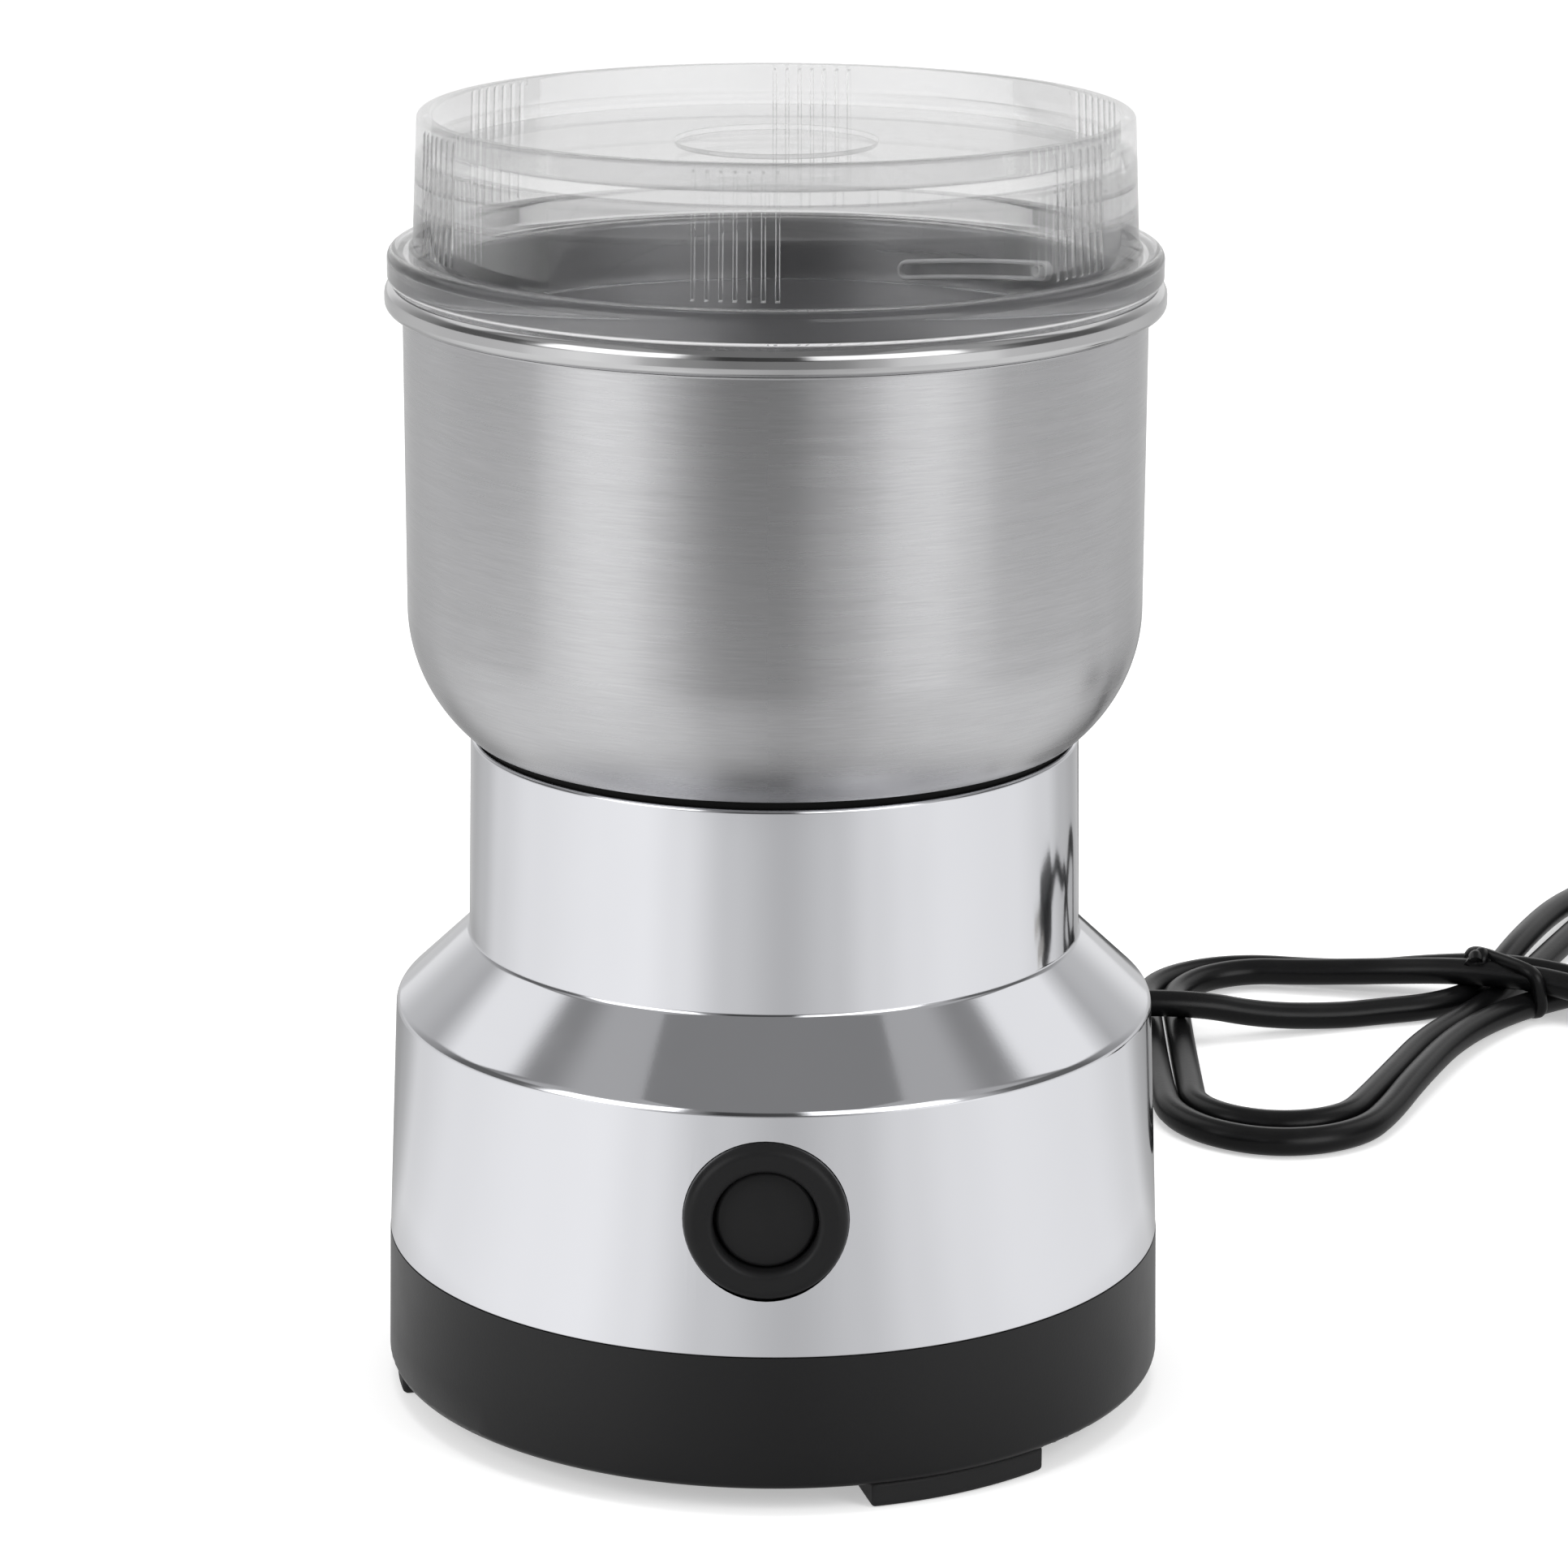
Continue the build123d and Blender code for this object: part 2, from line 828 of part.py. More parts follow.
def lid_lug():
    """Long low rib inside the skirt that keys the lid in the bowl."""
    outer = skirt_radius - lid_wall + lug_root
    middle = bowl_rim - lid_skirt_depth / 2
    section = make_face(
        Polyline(
            (outer - lug_depth, middle - lug_height / 2),
            (outer, middle - lug_height / 2),
            (outer, middle + lug_height / 2),
            (outer - lug_depth, middle + lug_height / 2),
            close=True,
        )
    )
    lug = revolve(Plane.XZ * section, Axis.Z, lug_sweep)
    return Rot(0, 0, lug_start_angle - 90) * lug


# ---- Blade and shaft ----
def blade():
    flat = blade_bend_start
    low = blade_bottom
    high = blade_top
    side = make_face(
        Polyline(
            (-blade_half_length, low - blade_down_drop),
            (-flat, low),
            (flat, low),
            (blade_half_length, low + blade_up_rise),
            (blade_half_length, high + blade_up_rise),
            (flat, high),
            (-flat, high),
            (-blade_half_length, high - blade_down_drop),
            close=True,
        )
    )
    strip = extrude(Plane.XZ * side, amount=blade_root_half_width, both=True)
    plan = make_face(
        Polyline(
            (-blade_half_length, -blade_tip_half_width),
            (-flat / 2, -blade_root_half_width),
            (flat / 2, -blade_root_half_width),
            (blade_half_length, blade_tip_half_width - blade_tip_width),
            (blade_half_length, blade_tip_half_width),
            (flat / 2, blade_root_half_width),
            (-flat / 2, blade_root_half_width),
            (-blade_half_length, blade_tip_width - blade_tip_half_width),
            close=True,
        )
    )
    reach = blade_up_rise + blade_down_drop + 2 * blade_sheet
    prism = Pos(0, 0, low) * extrude(plan, amount=reach, both=True)
    return (strip & prism) - rod(spindle_radius, low - cut_reach, high + cut_reach)


def blade_collar():
    low = bowl_floor + seal_flange + collar_gap
    return turned(
        [
            (shaft_radius, low, 0),
            (collar_radius, low, collar_rounding),
            (collar_radius, blade_bottom, 0),
            (spindle_radius, blade_bottom, 0),
            (spindle_radius, shaft_shoulder, 0),
            (shaft_radius, shaft_shoulder, 0),
        ]
    )


def blade_nut():
    hexagon = extrude(
        Pos(0, 0, blade_top) * RegularPolygon(nut_radius, 6), amount=nut_height
    )
    dome = turned(
        [
            (0, blade_top, 0),
            (nut_radius, blade_top, 0),
            (nut_radius, blade_top + nut_height, nut_height / 2),
            (0, blade_top + nut_height, 0),
        ]
    )
    return (hexagon & dome) - rod(spindle_radius, blade_top, spindle_end)


def motor_shaft():
    spindle = rod(spindle_radius, shaft_shoulder, spindle_end)
    return rod(shaft_radius, shaft_bottom, shaft_shoulder) + spindle


# ---- Motor ----
def armature_slot(width, start, end):
    return block(start, end, -width / 2, width / 2, stack_bottom, stack_top)


def armature_core():
    core = tube(core_radius, shaft_radius, stack_bottom, stack_top)
    slot = armature_slot(slot_width, slot_start, slot_end)
    slot += armature_slot(slot_mouth, slot_start, core_radius + cut_reach)
    for i in range(slot_count):
        core -= Rot(0, 0, i * 360 / slot_count) * slot
    return core


def armature_winding():
    inner = shaft_radius + winding_inner_clearance
    outer = slot_end
    rounding = winding_end_height / 3
    low = stack_bottom - winding_end_height
    high = stack_top + winding_end_height
    winding = turned(
        [
            (inner, low, 0),
            (outer, low, rounding),
            (outer, stack_bottom, 0),
            (inner, stack_bottom, 0),
        ]
    )
    winding += turned(
        [
            (inner, stack_top, 0),
            (outer, stack_top, 0),
            (outer, high, rounding),
            (inner, high, 0),
        ]
    )
    bar = armature_slot(
        slot_width - 2 * slot_clearance, slot_start + slot_clearance, slot_end - slot_clearance
    )
    for i in range(slot_count):
        winding += Rot(0, 0, i * 360 / slot_count) * bar
    return winding


def commutator():
    low = brush_z - commutator_length / 2
    high = brush_z + commutator_length / 2
    drum = tube(commutator_radius, shaft_radius, low, high)
    groove = block(
        commutator_radius - commutator_groove_depth,
        commutator_radius + cut_reach,
        -commutator_groove / 2,
        commutator_groove / 2,
        low,
        high,
    )
    for i in range(commutator_bars):
        drum -= Rot(0, 0, (i + 0.5) * 360 / commutator_bars) * groove
    return drum


def cooling_fan():
    fan = rod(fan_hub_radius, fan_bottom, fan_top)
    fan += rod(fan_radius, fan_top - fan_disc, fan_top)
    vane = block(
        fan_hub_radius - fan_blade_thickness,
        fan_radius,
        -fan_blade_thickness / 2,
        fan_blade_thickness / 2,
        fan_bottom,
        fan_top - fan_disc,
    )
    for i in range(fan_blades):
        fan += Rot(0, 0, i * 360 / fan_blades) * vane
    return fan - rod(shaft_radius, fan_bottom, fan_top)


def bearing(low):
    bore = shaft_radius + running_clearance
    return tube(bearing_radius, bore, low, low + bearing_length)


def stator_core():
    yoke = RectangleRounded(stack_length, stack_width, stack_corner)
    window = RectangleRounded(
        stack_length - 2 * yoke_thickness,
        stack_width - 2 * yoke_thickness,
        stack_corner - yoke_thickness / 2,
    )
    outline = yoke - window
    pole_end = stack_length / 2 - yoke_thickness / 2
    for side in (-1, 1):
        pole_length = pole_end - bore_radius
        outline += Pos(side * (bore_radius + pole_length / 2), 0) * Rectangle(
            pole_length, 2 * pole_half_width
        )
        shoe_length = shoe_radius - shoe_reach
        outline += Circle(shoe_radius) & (
            Pos(side * (shoe_reach + shoe_length / 2), 0)
            * Rectangle(shoe_length, 2 * shoe_radius)
        )
    outline -= Circle(bore_radius)
    core = Pos(0, 0, stack_bottom) * extrude(outline, amount=stack_height)
    return core - bracket_screw_holes(stack_bottom, stack_top)


def bracket_screw_holes(low, high):
    holes = None
    for side in (-1, 1):
        hole = rod(bracket_screw_radius + thread_clearance, low, high)
        hole = Pos(0, side * bracket_screw_offset, 0) * hole
        holes = hole if holes is None else holes + hole
    return holes


def field_coil(side):
    middle = (stack_bottom + stack_top) / 2
    inner_width = 2 * (pole_half_width + coil_clearance)
    inner_height = stack_height + 2 * coil_clearance
    outer_width = inner_width + 2 * coil_side_band
    outer_height = inner_height + 2 * coil_band
    ring = RectangleRounded(outer_width, outer_height, coil_rounding)
    ring -= RectangleRounded(inner_width, inner_height, coil_inner_rounding)
    start = coil_start if side > 0 else -coil_end
    return Pos(start, 0, middle) * extrude(Plane.YZ * ring, amount=coil_thickness)


def bracket_leg(side, low, high):
    near = min(side * leg_inner, side * leg_outer)
    far = max(side * leg_inner, side * leg_outer)
    return block(-leg_half_width, leg_half_width, near, far, low, high)


def bearing_cup(low):
    return rod(bearing_radius + cup_wall, low, low + bearing_length)


def upper_bracket():
    bracket = rod(bracket_plate_radius, upper_plate_bottom, upper_plate_top)
    bracket += bearing_cup(upper_cup_bottom)
    for side in (-1, 1):
        bracket += bracket_leg(side, stack_top, upper_plate_bottom)
    bracket -= rod(bearing_radius, upper_cup_bottom, upper_cup_bottom + bearing_length)
    bracket -= bracket_screw_holes(stack_top, upper_plate_top)
    for place in spots(bowl_screw_circle, first_bowl_screw_angle, bowl_screw_count):
        thread = rod(
            bowl_screw_radius + thread_clearance, upper_plate_bottom, upper_plate_top
        )
        bracket -= place * thread
    gap_angle = first_bowl_screw_angle + 180 / bowl_screw_count
    for place in spots(cooling_hole_circle, gap_angle, bowl_screw_count):
        hole = rod(cooling_hole_radius, upper_plate_bottom, upper_plate_top)
        bracket -= place * hole
    return bracket


def lower_bracket():
    arm = leg_half_width
    bracket = block(-holder_end, holder_end, -arm, arm, lower_plate_bottom, lower_plate_top)
    bracket += block(
        -arm, arm, -leg_outer, leg_outer, lower_plate_bottom, lower_plate_top
    )
    bracket += bearing_cup(lower_cup_bottom)
    for side in (-1, 1):
        bracket += bracket_leg(side, lower_plate_top, stack_bottom)
    bracket -= rod(bearing_radius, lower_cup_bottom, lower_cup_bottom + bearing_length)
    return bracket - bracket_screw_holes(lower_plate_bottom, stack_bottom)


def bracket_screws():
    """Two long screws with their nuts, through both brackets and the stator."""
    length = upper_plate_top - lower_plate_bottom + bracket_head_height
    screw = pan_screw(
        bracket_screw_radius, length, bracket_head_radius, bracket_head_height
    )
    nut = extrude(RegularPolygon(bracket_head_radius, 6), amount=-bracket_head_height)
    nut -= rod(bracket_screw_radius, -bracket_head_height, 0)
    pieces = []
    for side in (-1, 1):
        place = Pos(0, side * bracket_screw_offset, 0)
        pieces.append(place * Pos(0, 0, upper_plate_top) * screw)
        pieces.append(place * Pos(0, 0, lower_plate_bottom) * nut)
    return Compound(children=pieces)


def motor_mounts():
    bush = tube(
        mount_radius, bowl_screw_radius + hole_clearance, upper_plate_top, deck_boss_end
    )
    places = spots(bowl_screw_circle, first_bowl_screw_angle, bowl_screw_count)
    return Compound(children=[place * bush for place in places])


# ---- Brushes, each made on the +X side and turned for the other ----
def both_sides(shape, side):
    return shape if side > 0 else Rot(0, 0, 180) * shape


def brush_holder(side):
    body = block(
        holder_start,
        holder_end,
        -holder_half_width,
        holder_half_width,
        lower_plate_top,
        brush_z + holder_top,
    )
    channel = block(
        holder_start,
        holder_end,
        -brush_width / 2 - brush_clearance,
        brush_width / 2 + brush_clearance,
        brush_z - brush_height / 2 - brush_clearance,
        brush_z + brush_height / 2 + brush_clearance,
    )
    return both_sides(body - channel, side)


def carbon_brush(side):
    start = commutator_radius + brush_gap
    brush = block(
        start,
        start + brush_length,
        -brush_width / 2,
        brush_width / 2,
        brush_z - brush_height / 2,
        brush_z + brush_height / 2,
    )
    return both_sides(brush, side)


def brush_spring(side):
    start = commutator_radius + brush_gap + brush_length
    spring = coil_spring(
        brush_spring_radius, brush_spring_wire, brush_spring_turns, holder_end - start
    )
    return both_sides(Pos(start, 0, brush_z) * Rot(0, 90, 0) * spring, side)


def brush_cap(side):
    cap = block(
        holder_end,
        holder_end + brush_cap_thickness,
        brush_cap_inset - holder_half_width,
        holder_half_width - brush_cap_inset,
        brush_z - holder_top + brush_cap_inset,
        brush_z + holder_top - brush_cap_inset,
    )
    return both_sides(cap, side)


# ---- Push button and switch, made upright with +Z for the front ----
def button_bezel():
    bezel = turned(
        [
            (well_radius, bezel_front, well_rounding),
            (bezel_radius, bezel_front, bezel_rounding),
            (bezel_radius, bezel_seat, 0),
            (bezel_barrel_radius, bezel_seat, 0),
            (bezel_barrel_radius, bezel_barrel_end, 0),
            (flange_chamber_radius, bezel_barrel_end, 0),
            (flange_chamber_radius, bezel_front - bezel_lip, 0),
            (well_radius, bezel_front - bezel_lip, 0),
        ]
    )
    return to_front(bezel, button_height)


def button_cap():
    cap_radius = well_radius - well_clearance
    top = bezel_front - button_recess
    cap = turned(
        [
            (0, top, 0),
            (cap_radius, top - button_dome, button_rounding),
            (cap_radius, flange_front, 0),
            (button_flange_radius, flange_front, 0),
            (button_flange_radius, flange_back, 0),
            (button_stem_radius, flange_back, 0),
            (button_stem_radius, stem_end, 0),
            (0, stem_end, 0),
        ]
    )
    return to_front(cap, button_height)


def button_spring():
    spring = coil_spring(
        button_spring_radius,
        button_spring_wire,
        button_spring_turns,
        flange_back - button_boss_end - 2 * button_spring_gap,
    )
    spring = Pos(0, 0, button_boss_end + button_spring_gap) * spring
    return to_front(spring, button_height)


def switch_bracket():
    """Round plate behind the button with two arms that hold the switch."""
    plate = rod(boss_outer, carrier_back, button_boss_end)
    plate -= rod(button_stem_radius + button_stem_clearance, carrier_back, button_boss_end)
    for side in (-1, 1):
        hole = rod(carrier_screw_radius + hole_clearance, carrier_back, button_boss_end)
        plate -= Pos(side * carrier_screw_offset, 0, 0) * hole
    bracket = to_front(plate, button_height)
    for side in (-1, 1):
        near = side * switch_length / 2
        far = side * (switch_length / 2 + arm_thickness)
        bracket += block(
            min(near, far),
            max(near, far),
            -carrier_back,
            -switch_back,
            button_height - arm_height / 2,
            button_height + arm_height / 2,
        )
    return (bracket - switch_pin_holes(thread_clearance)) - carrier_head_recess()


def carrier_head_recess():
    """Room beside the arms for the heads of the two carrier screws."""
    radius = carrier_head_radius + hole_clearance
    recess = rod(radius, carrier_back - carrier_head_height - cut_reach, carrier_back)
    pair = None
    for side in (-1, 1):
        one = Pos(side * carrier_screw_offset, 0, 0) * to_front(recess, button_height)
        pair = one if pair is None else pair + one
    return pair


def switch_pin_holes(clearance):
    reach = switch_length / 2 + arm_thickness
    pins = None
    for side in (-1, 1):
        pin = Rot(0, 90, 0) * rod(pin_radius + clearance, -reach, reach)
        height = button_height + side * pin_offset
        pin = Pos(0, -switch_back - pin_setback, height) * pin
        pins = pin if pins is None else pins + pin
    return pins


def switch_pins():
    return Compound(children=switch_pin_holes(0).solids())


def switch_screws():
    screw = pan_screw(
        carrier_screw_radius, carrier_screw_length, carrier_head_radius, carrier_head_height
    )
    turned_in = Rot(-90, 0, 0) * screw
    places = [
        Pos(side * carrier_screw_offset, -carrier_back, button_height) for side in (-1, 1)
    ]
    return Compound(children=[place * turned_in for place in places])


def power_switch():
    body = block(
        -switch_length / 2,
        switch_length / 2,
        -switch_front,
        -switch_back,
        switch_bottom,
        switch_bottom + switch_height,
    )
    bore = rod(
        plunger_radius + thread_clearance, switch_front - plunger_length, switch_front
    )
    return body - to_front(bore, button_height) - switch_pin_holes(thread_clearance)


def switch_plunger():
    tip = switch_front + plunger_protrusion
    plunger = turned(
        [
            (0, tip - plunger_length + button_stroke, 0),
            (plunger_radius, tip - plunger_length + button_stroke, 0),
            (plunger_radius, tip, plunger_rounding),
            (0, tip, 0),
        ]
    )
    return to_front(plunger, button_height)


def switch_terminals():
    middle = -switch_front + switch_depth / 2
    tabs = []
    for side in (-1, 1):
        tabs.append(
            block(
                side * terminal_offset - terminal_width / 2,
                side * terminal_offset + terminal_width / 2,
                middle - terminal_sheet / 2,
                middle + terminal_sheet / 2,
                switch_bottom - terminal_drop,
                switch_bottom,
            )
        )
    return Compound(children=tabs)


# ---- Lead inside the base ----
def cord_gland():
    neck = base_radius + gland_outer_gap
    flange_end = lip_inner - gland_inner_gap
    collar_end = neck + gland_collar
    gland = turned(
        [
            (cord_radius + cord_fit, flange_end - gland_flange, 0),
            (gland_flange_radius, flange_end - gland_flange, gland_rounding),
            (gland_flange_radius, flange_end, 0),
            (gland_neck_radius, flange_end, 0),
            (gland_neck_radius, neck, 0),
            (gland_flange_radius, neck, gland_rounding),
            (gland_flange_radius, collar_end, gland_rounding),
            (gland_tip_radius, gland_tip, gland_rounding),
            (0, gland_tip, 0),
            (0, tail_end, 0),
            (cord_radius + cord_fit, tail_end, 0),
        ]
    )
    for i in range(gland_grooves):
        share = (i + 1) / (gland_grooves + 1)
        middle = collar_end + share * (gland_tip - collar_end)
        radius = gland_flange_radius + share * (gland_tip_radius - gland_flange_radius)
        gland -= tube(
            gland_flange_radius,
            radius - groove_depth,
            middle - groove_width / 2,
            middle + groove_width / 2,
        )
    return to_back(gland, cord_exit_height)


def cord_tail():
    return to_back(rod(cord_radius, tail_start, tail_end), cord_exit_height)


def cord_clamp():
    clamp = block(
        -clamp_half_width,
        clamp_half_width,
        clamp_front,
        clamp_back,
        cord_exit_height + clamp_split,
        cord_exit_height + clamp_thickness,
    )
    for side in (-1, 1):
        hole = rod(
            clamp_screw_radius + hole_clearance,
            cord_exit_height,
            cord_exit_height + clamp_thickness,
        )
        clamp -= Pos(side * clamp_screw_offset, (clamp_front + clamp_back) / 2, 0) * hole
    return clamp - cord_channel()


def clamp_screws():
    screw = pan_screw(
        clamp_screw_radius, clamp_screw_length, clamp_head_radius, clamp_head_height
    )
    middle = (clamp_front + clamp_back) / 2
    top = cord_exit_height + clamp_thickness
    places = [Pos(side * clamp_screw_offset, middle, top) for side in (-1, 1)]
    return Compound(children=[place * screw for place in places])


def lead_wires():
    """Five insulated wires: lead to switch, switch to coil, and the motor's own."""
    terminal_y = -switch_front + switch_depth / 2
    terminal_z = switch_bottom - terminal_drop
    cap_x = holder_end + brush_cap_thickness
    coil_x = (coil_start + coil_end) / 2
    tail_z = cord_exit_height
    live = [
        (-wire_offset, tail_start, tail_z),
        (-wire_offset, tail_start - 5, tail_z),
        (-12, tail_start - 7, tail_z + 3),
        (-27, 20, tail_z + 8),
        (-31.5, 3, tail_z + 10),
        (-29, -17, tail_z + 10),
        (-15, -29, tail_z + 9),
        (-terminal_offset, terminal_y, terminal_z - 7),
        (-terminal_offset, terminal_y, terminal_z),
    ]
    switched = [
        (terminal_offset, terminal_y, terminal_z),
        (terminal_offset, terminal_y, terminal_z - 6),
        (13, -31, terminal_z - 7),
        (23, -24, terminal_z - 2),
        (coil_x, -11, coil_low - 6),
        (coil_x, -11, coil_low),
    ]
    neutral = [
        (wire_offset, tail_start, tail_z),
        (wire_offset, tail_start - 5, tail_z),
        (-3, tail_start - 7, tail_z + 8),
        (-13, 27, tail_z + 15),
        (-coil_x, 17, coil_low - 8),
        (-coil_x, 11, coil_low - 6),
        (-coil_x, 11, coil_low),
    ]
    jumper = [
        (coil_x, 11, coil_low),
        (coil_x, 11, coil_low - 4.5),
        (coil_x + 5, 12, coil_low - 7),
        (cap_x + 4, 9, coil_low - 7.5),
        (cap_x + 5, 0, brush_z),
        (cap_x, 0, brush_z),
    ]
    turned_jumper = [(-x, -y, z) for x, y, z in jumper]
    runs = (live, switched, neutral, jumper, turned_jumper)
    return Compound(children=[round_run(points, wire_radius)[0] for points in runs])


# ---- Free lead ----
def corner_radii(points):
    """Radius of each inner corner: 0.45 of the shorter run over tan(half the turn)."""
    radii = []
    for before, here, after in zip(points, points[1:], points[2:]):
        arriving = Vector(*here) - Vector(*before)
        leaving = Vector(*after) - Vector(*here)
        shorter = min(arriving.length, leaving.length)
        half_turn = math.radians(arriving.get_angle(leaving)) / 2
        radii.append(0.45 * shorter / math.tan(half_turn))
    return radii


def round_run(points, radius):
    """Round bar along straight runs joined by tangent arcs, and its corner radii."""
    radii = corner_radii(points)
    path = FilletPolyline(*points, radius=radii)
    section = Plane(origin=path @ 0, z_dir=path % 0) * Circle(radius)
    return sweep(section, path=path), radii, path.length


def mirrored(point):
    """Point of the hank turned half round about the tie."""
    return (2 * tie_place[0] - point[0], 2 * tie_place[1] - point[1])


def power_cord():
    first = [
        (0, gland_tip, cord_exit_height),
        (0, gland_tip + exit_run, cord_exit_height),
        *lead_points,
        (lead_in - hank_entry_run, lead_in_height, cord_radius),
        (lead_in, lead_in_height, cord_radius),
    ]
    out_x, out_y = mirrored((lead_in, lead_in_height))
    last = [
        (out_x, out_y, cord_radius),
        (out_x + hank_exit_run, out_y, cord_radius),
        *plug_points,
        (plug_entry[0], plug_entry[1] + plug_entry_run, plug_thickness / 2),
        (*plug_entry, plug_thickness / 2),
    ]
    pieces = []
    for name, points in (("gland to hank", first), ("hank to plug", last)):
        solid, radii, length = round_run(points, cord_radius)
        pieces.append(solid)
        share = solid.volume / (math.pi * cord_radius**2 * length)
        print(name, "length", round(length, 1), "volume share", round(share, 4))
        print("  corner radii", [round(r, 1) for r in radii])
    return Compound(children=pieces)


def hull_of(circles):
    """Face with the outline of a band pulled tight round (place, radius) circles."""
    rings = [Pos(*place) * Circle(radius) for place, radius in circles]
    return make_hull([edge for ring in rings for edge in ring.edges()])


def hank_half():
    outside = hull_of(
        [
            (hank_back_bend, hank_back_radius),
            (hank_front_bend, hank_front_radius),
            (tie_place, hank_waist_radius),
        ]
    )
    inside = hull_of(
        [
            (hank_back_bend, hank_back_radius - hank_band),
            (hank_front_bend, hank_front_radius - hank_band),
            (hank_opening_tip, hank_opening_rounding),
        ]
    )
    ring = extrude(outside - inside, amount=hank_height)
    strand = hull_of(
        [
            ((lead_in + hank_band / 2, lead_in_height), cord_radius),
            (hank_opening_tip, cord_radius),
        ]
    )
    return ring + extrude(strand, amount=cord_diameter)


def cord_hank():
    half = hank_half()
    turn = Pos(*tie_place) * Rot(0, 0, 180) * Pos(-tie_place[0], -tie_place[1])
    hank = half + turn * half
    rim = hank.edges().group_by(Axis.Z)[-1]
    hank = fillet(rim, hank_rounding)
    return hank - cord_tie()


def cord_tie():
    """Wire tie round the hank's waist, across the strands."""
    half_width = hank_waist_radius + tie_thickness / 2
    outer = block(-tie_width / 2, tie_width / 2, -half_width, half_width, 0, tie_top())
    inner_width = half_width - tie_thickness
    inner = block(
        -tie_width / 2,
        tie_width / 2,
        -inner_width,
        inner_width,
        tie_thickness,
        tie_top() - tie_thickness,
    )
    return Pos(*tie_place) * Rot(0, 0, tie_angle) * (outer - inner)


def tie_top():
    return hank_height + tie_thickness


# ---- Mains plug ----
def plug_frame():
    """Plane at the plug's rear with its Z axis along the pins, which point to -Y."""
    rear = (*plug_entry, plug_thickness / 2)
    return Plane(origin=rear, x_dir=(0, 0, 1), z_dir=(0, -1, 0))


def plug_body():
    rear = plug_relief_length
    front = rear + plug_body_length
    half = plug_width / 2
    half_rear = plug_rear_width / 2
    outline = make_face(
        Polyline(
            (rear, -half_rear),
            (rear + plug_taper_length, -half),
            (front, -half),
            (front, half),
            (rear + plug_taper_length, half),
            (rear, half_rear),
            close=True,
        )
    )
    body = extrude(outline, amount=plug_thickness / 2, both=True)
    body = fillet(body.edges().filter_by(Axis.Z), plug_rounding)
    flat_faces = body.faces().filter_by(Axis.Z)
    body = fillet(flat_faces.edges(), plug_edge_rounding)
    relief = turned(
        [
            (0, 0, 0),
            (cord_radius + plug_relief_wall, 0, 0),
            (plug_relief_radius, rear + plug_relief_root, 0),
            (0, rear + plug_relief_root, 0),
        ]
    )
    relief = Rot(0, 90, 0) * relief
    pins = plug_pin_pair(0)
    shape = body + relief - pins[0] - pins[1]
    return plug_frame().location * Rot(0, -90, 0) * shape


def plug_pin_pair(tip_rounding):
    """Two round pins along +X, seated in the plug's front face."""
    front = plug_relief_length + plug_body_length
    pins = []
    for side in (-1, 1):
        pin = turned(
            [
                (0, front - plug_pin_seat, 0),
                (plug_pin_radius, front - plug_pin_seat, 0),
                (plug_pin_radius, front + plug_pin_length, tip_rounding),
                (0, front + plug_pin_length, 0),
            ]
        )
        pins.append(Pos(0, side * plug_pin_spacing / 2, 0) * Rot(0, 90, 0) * pin)
    return pins


def plug_pins():
    place = plug_frame().location * Rot(0, -90, 0)
    return Compound(children=[place * pin for pin in plug_pin_pair(plug_pin_rounding)])


nodes = {
    "feet": feet(),
    "base_cover": base_cover(),
    "base_screws": base_screws(),
    "suppressor": suppressor(),
    "housing": housing(),
    "bowl_gasket": bowl_gasket(),
    "bowl": bowl(),
    "bowl_screws": bowl_screws(),
    "shaft_seal": shaft_seal(),
    "lid": lid(),
    "blade": blade(),
    "blade_collar": blade_collar(),
    "blade_nut": blade_nut(),
    "motor_shaft": motor_shaft(),
    "armature_core": armature_core(),
    "armature_winding": armature_winding(),
    "commutator": commutator(),
    "cooling_fan": cooling_fan(),
    "upper_bearing": bearing(upper_cup_bottom),
    "lower_bearing": bearing(lower_cup_bottom),
    "stator_core": stator_core(),
    "field_coil_left": field_coil(-1),
    "field_coil_right": field_coil(1),
    "upper_bracket": upper_bracket(),
    "lower_bracket": lower_bracket(),
    "bracket_screws": bracket_screws(),
    "motor_mounts": motor_mounts(),
    "brush_holder_left": brush_holder(-1),
    "brush_holder_right": brush_holder(1),
    "carbon_brush_left": carbon_brush(-1),
    "carbon_brush_right": carbon_brush(1),
    "brush_spring_left": brush_spring(-1),
    "brush_spring_right": brush_spring(1),
    "brush_cap_left": brush_cap(-1),
    "brush_cap_right": brush_cap(1),
    "button_bezel": button_bezel(),
    "button_cap": button_cap(),
    "button_spring": button_spring(),
    "switch_bracket": switch_bracket(),
    "switch_screws": switch_screws(),
    "switch_pins": switch_pins(),
    "power_switch": power_switch(),
    "switch_plunger": switch_plunger(),
    "switch_terminals": switch_terminals(),
    "cord_gland": cord_gland(),
    "cord_tail": cord_tail(),
    "cord_clamp": cord_clamp(),
    "clamp_screws": clamp_screws(),
    "lead_wires": lead_wires(),
    "power_cord": power_cord(),
    "cord_hank": cord_hank(),
    "cord_tie": cord_tie(),
    "plug_body": plug_body(),
    "plug_pins": plug_pins(),
}

os.makedirs("parts", exist_ok=True)
for name, shape in nodes.items():
    export_step(shape, f"parts/{name}.step")
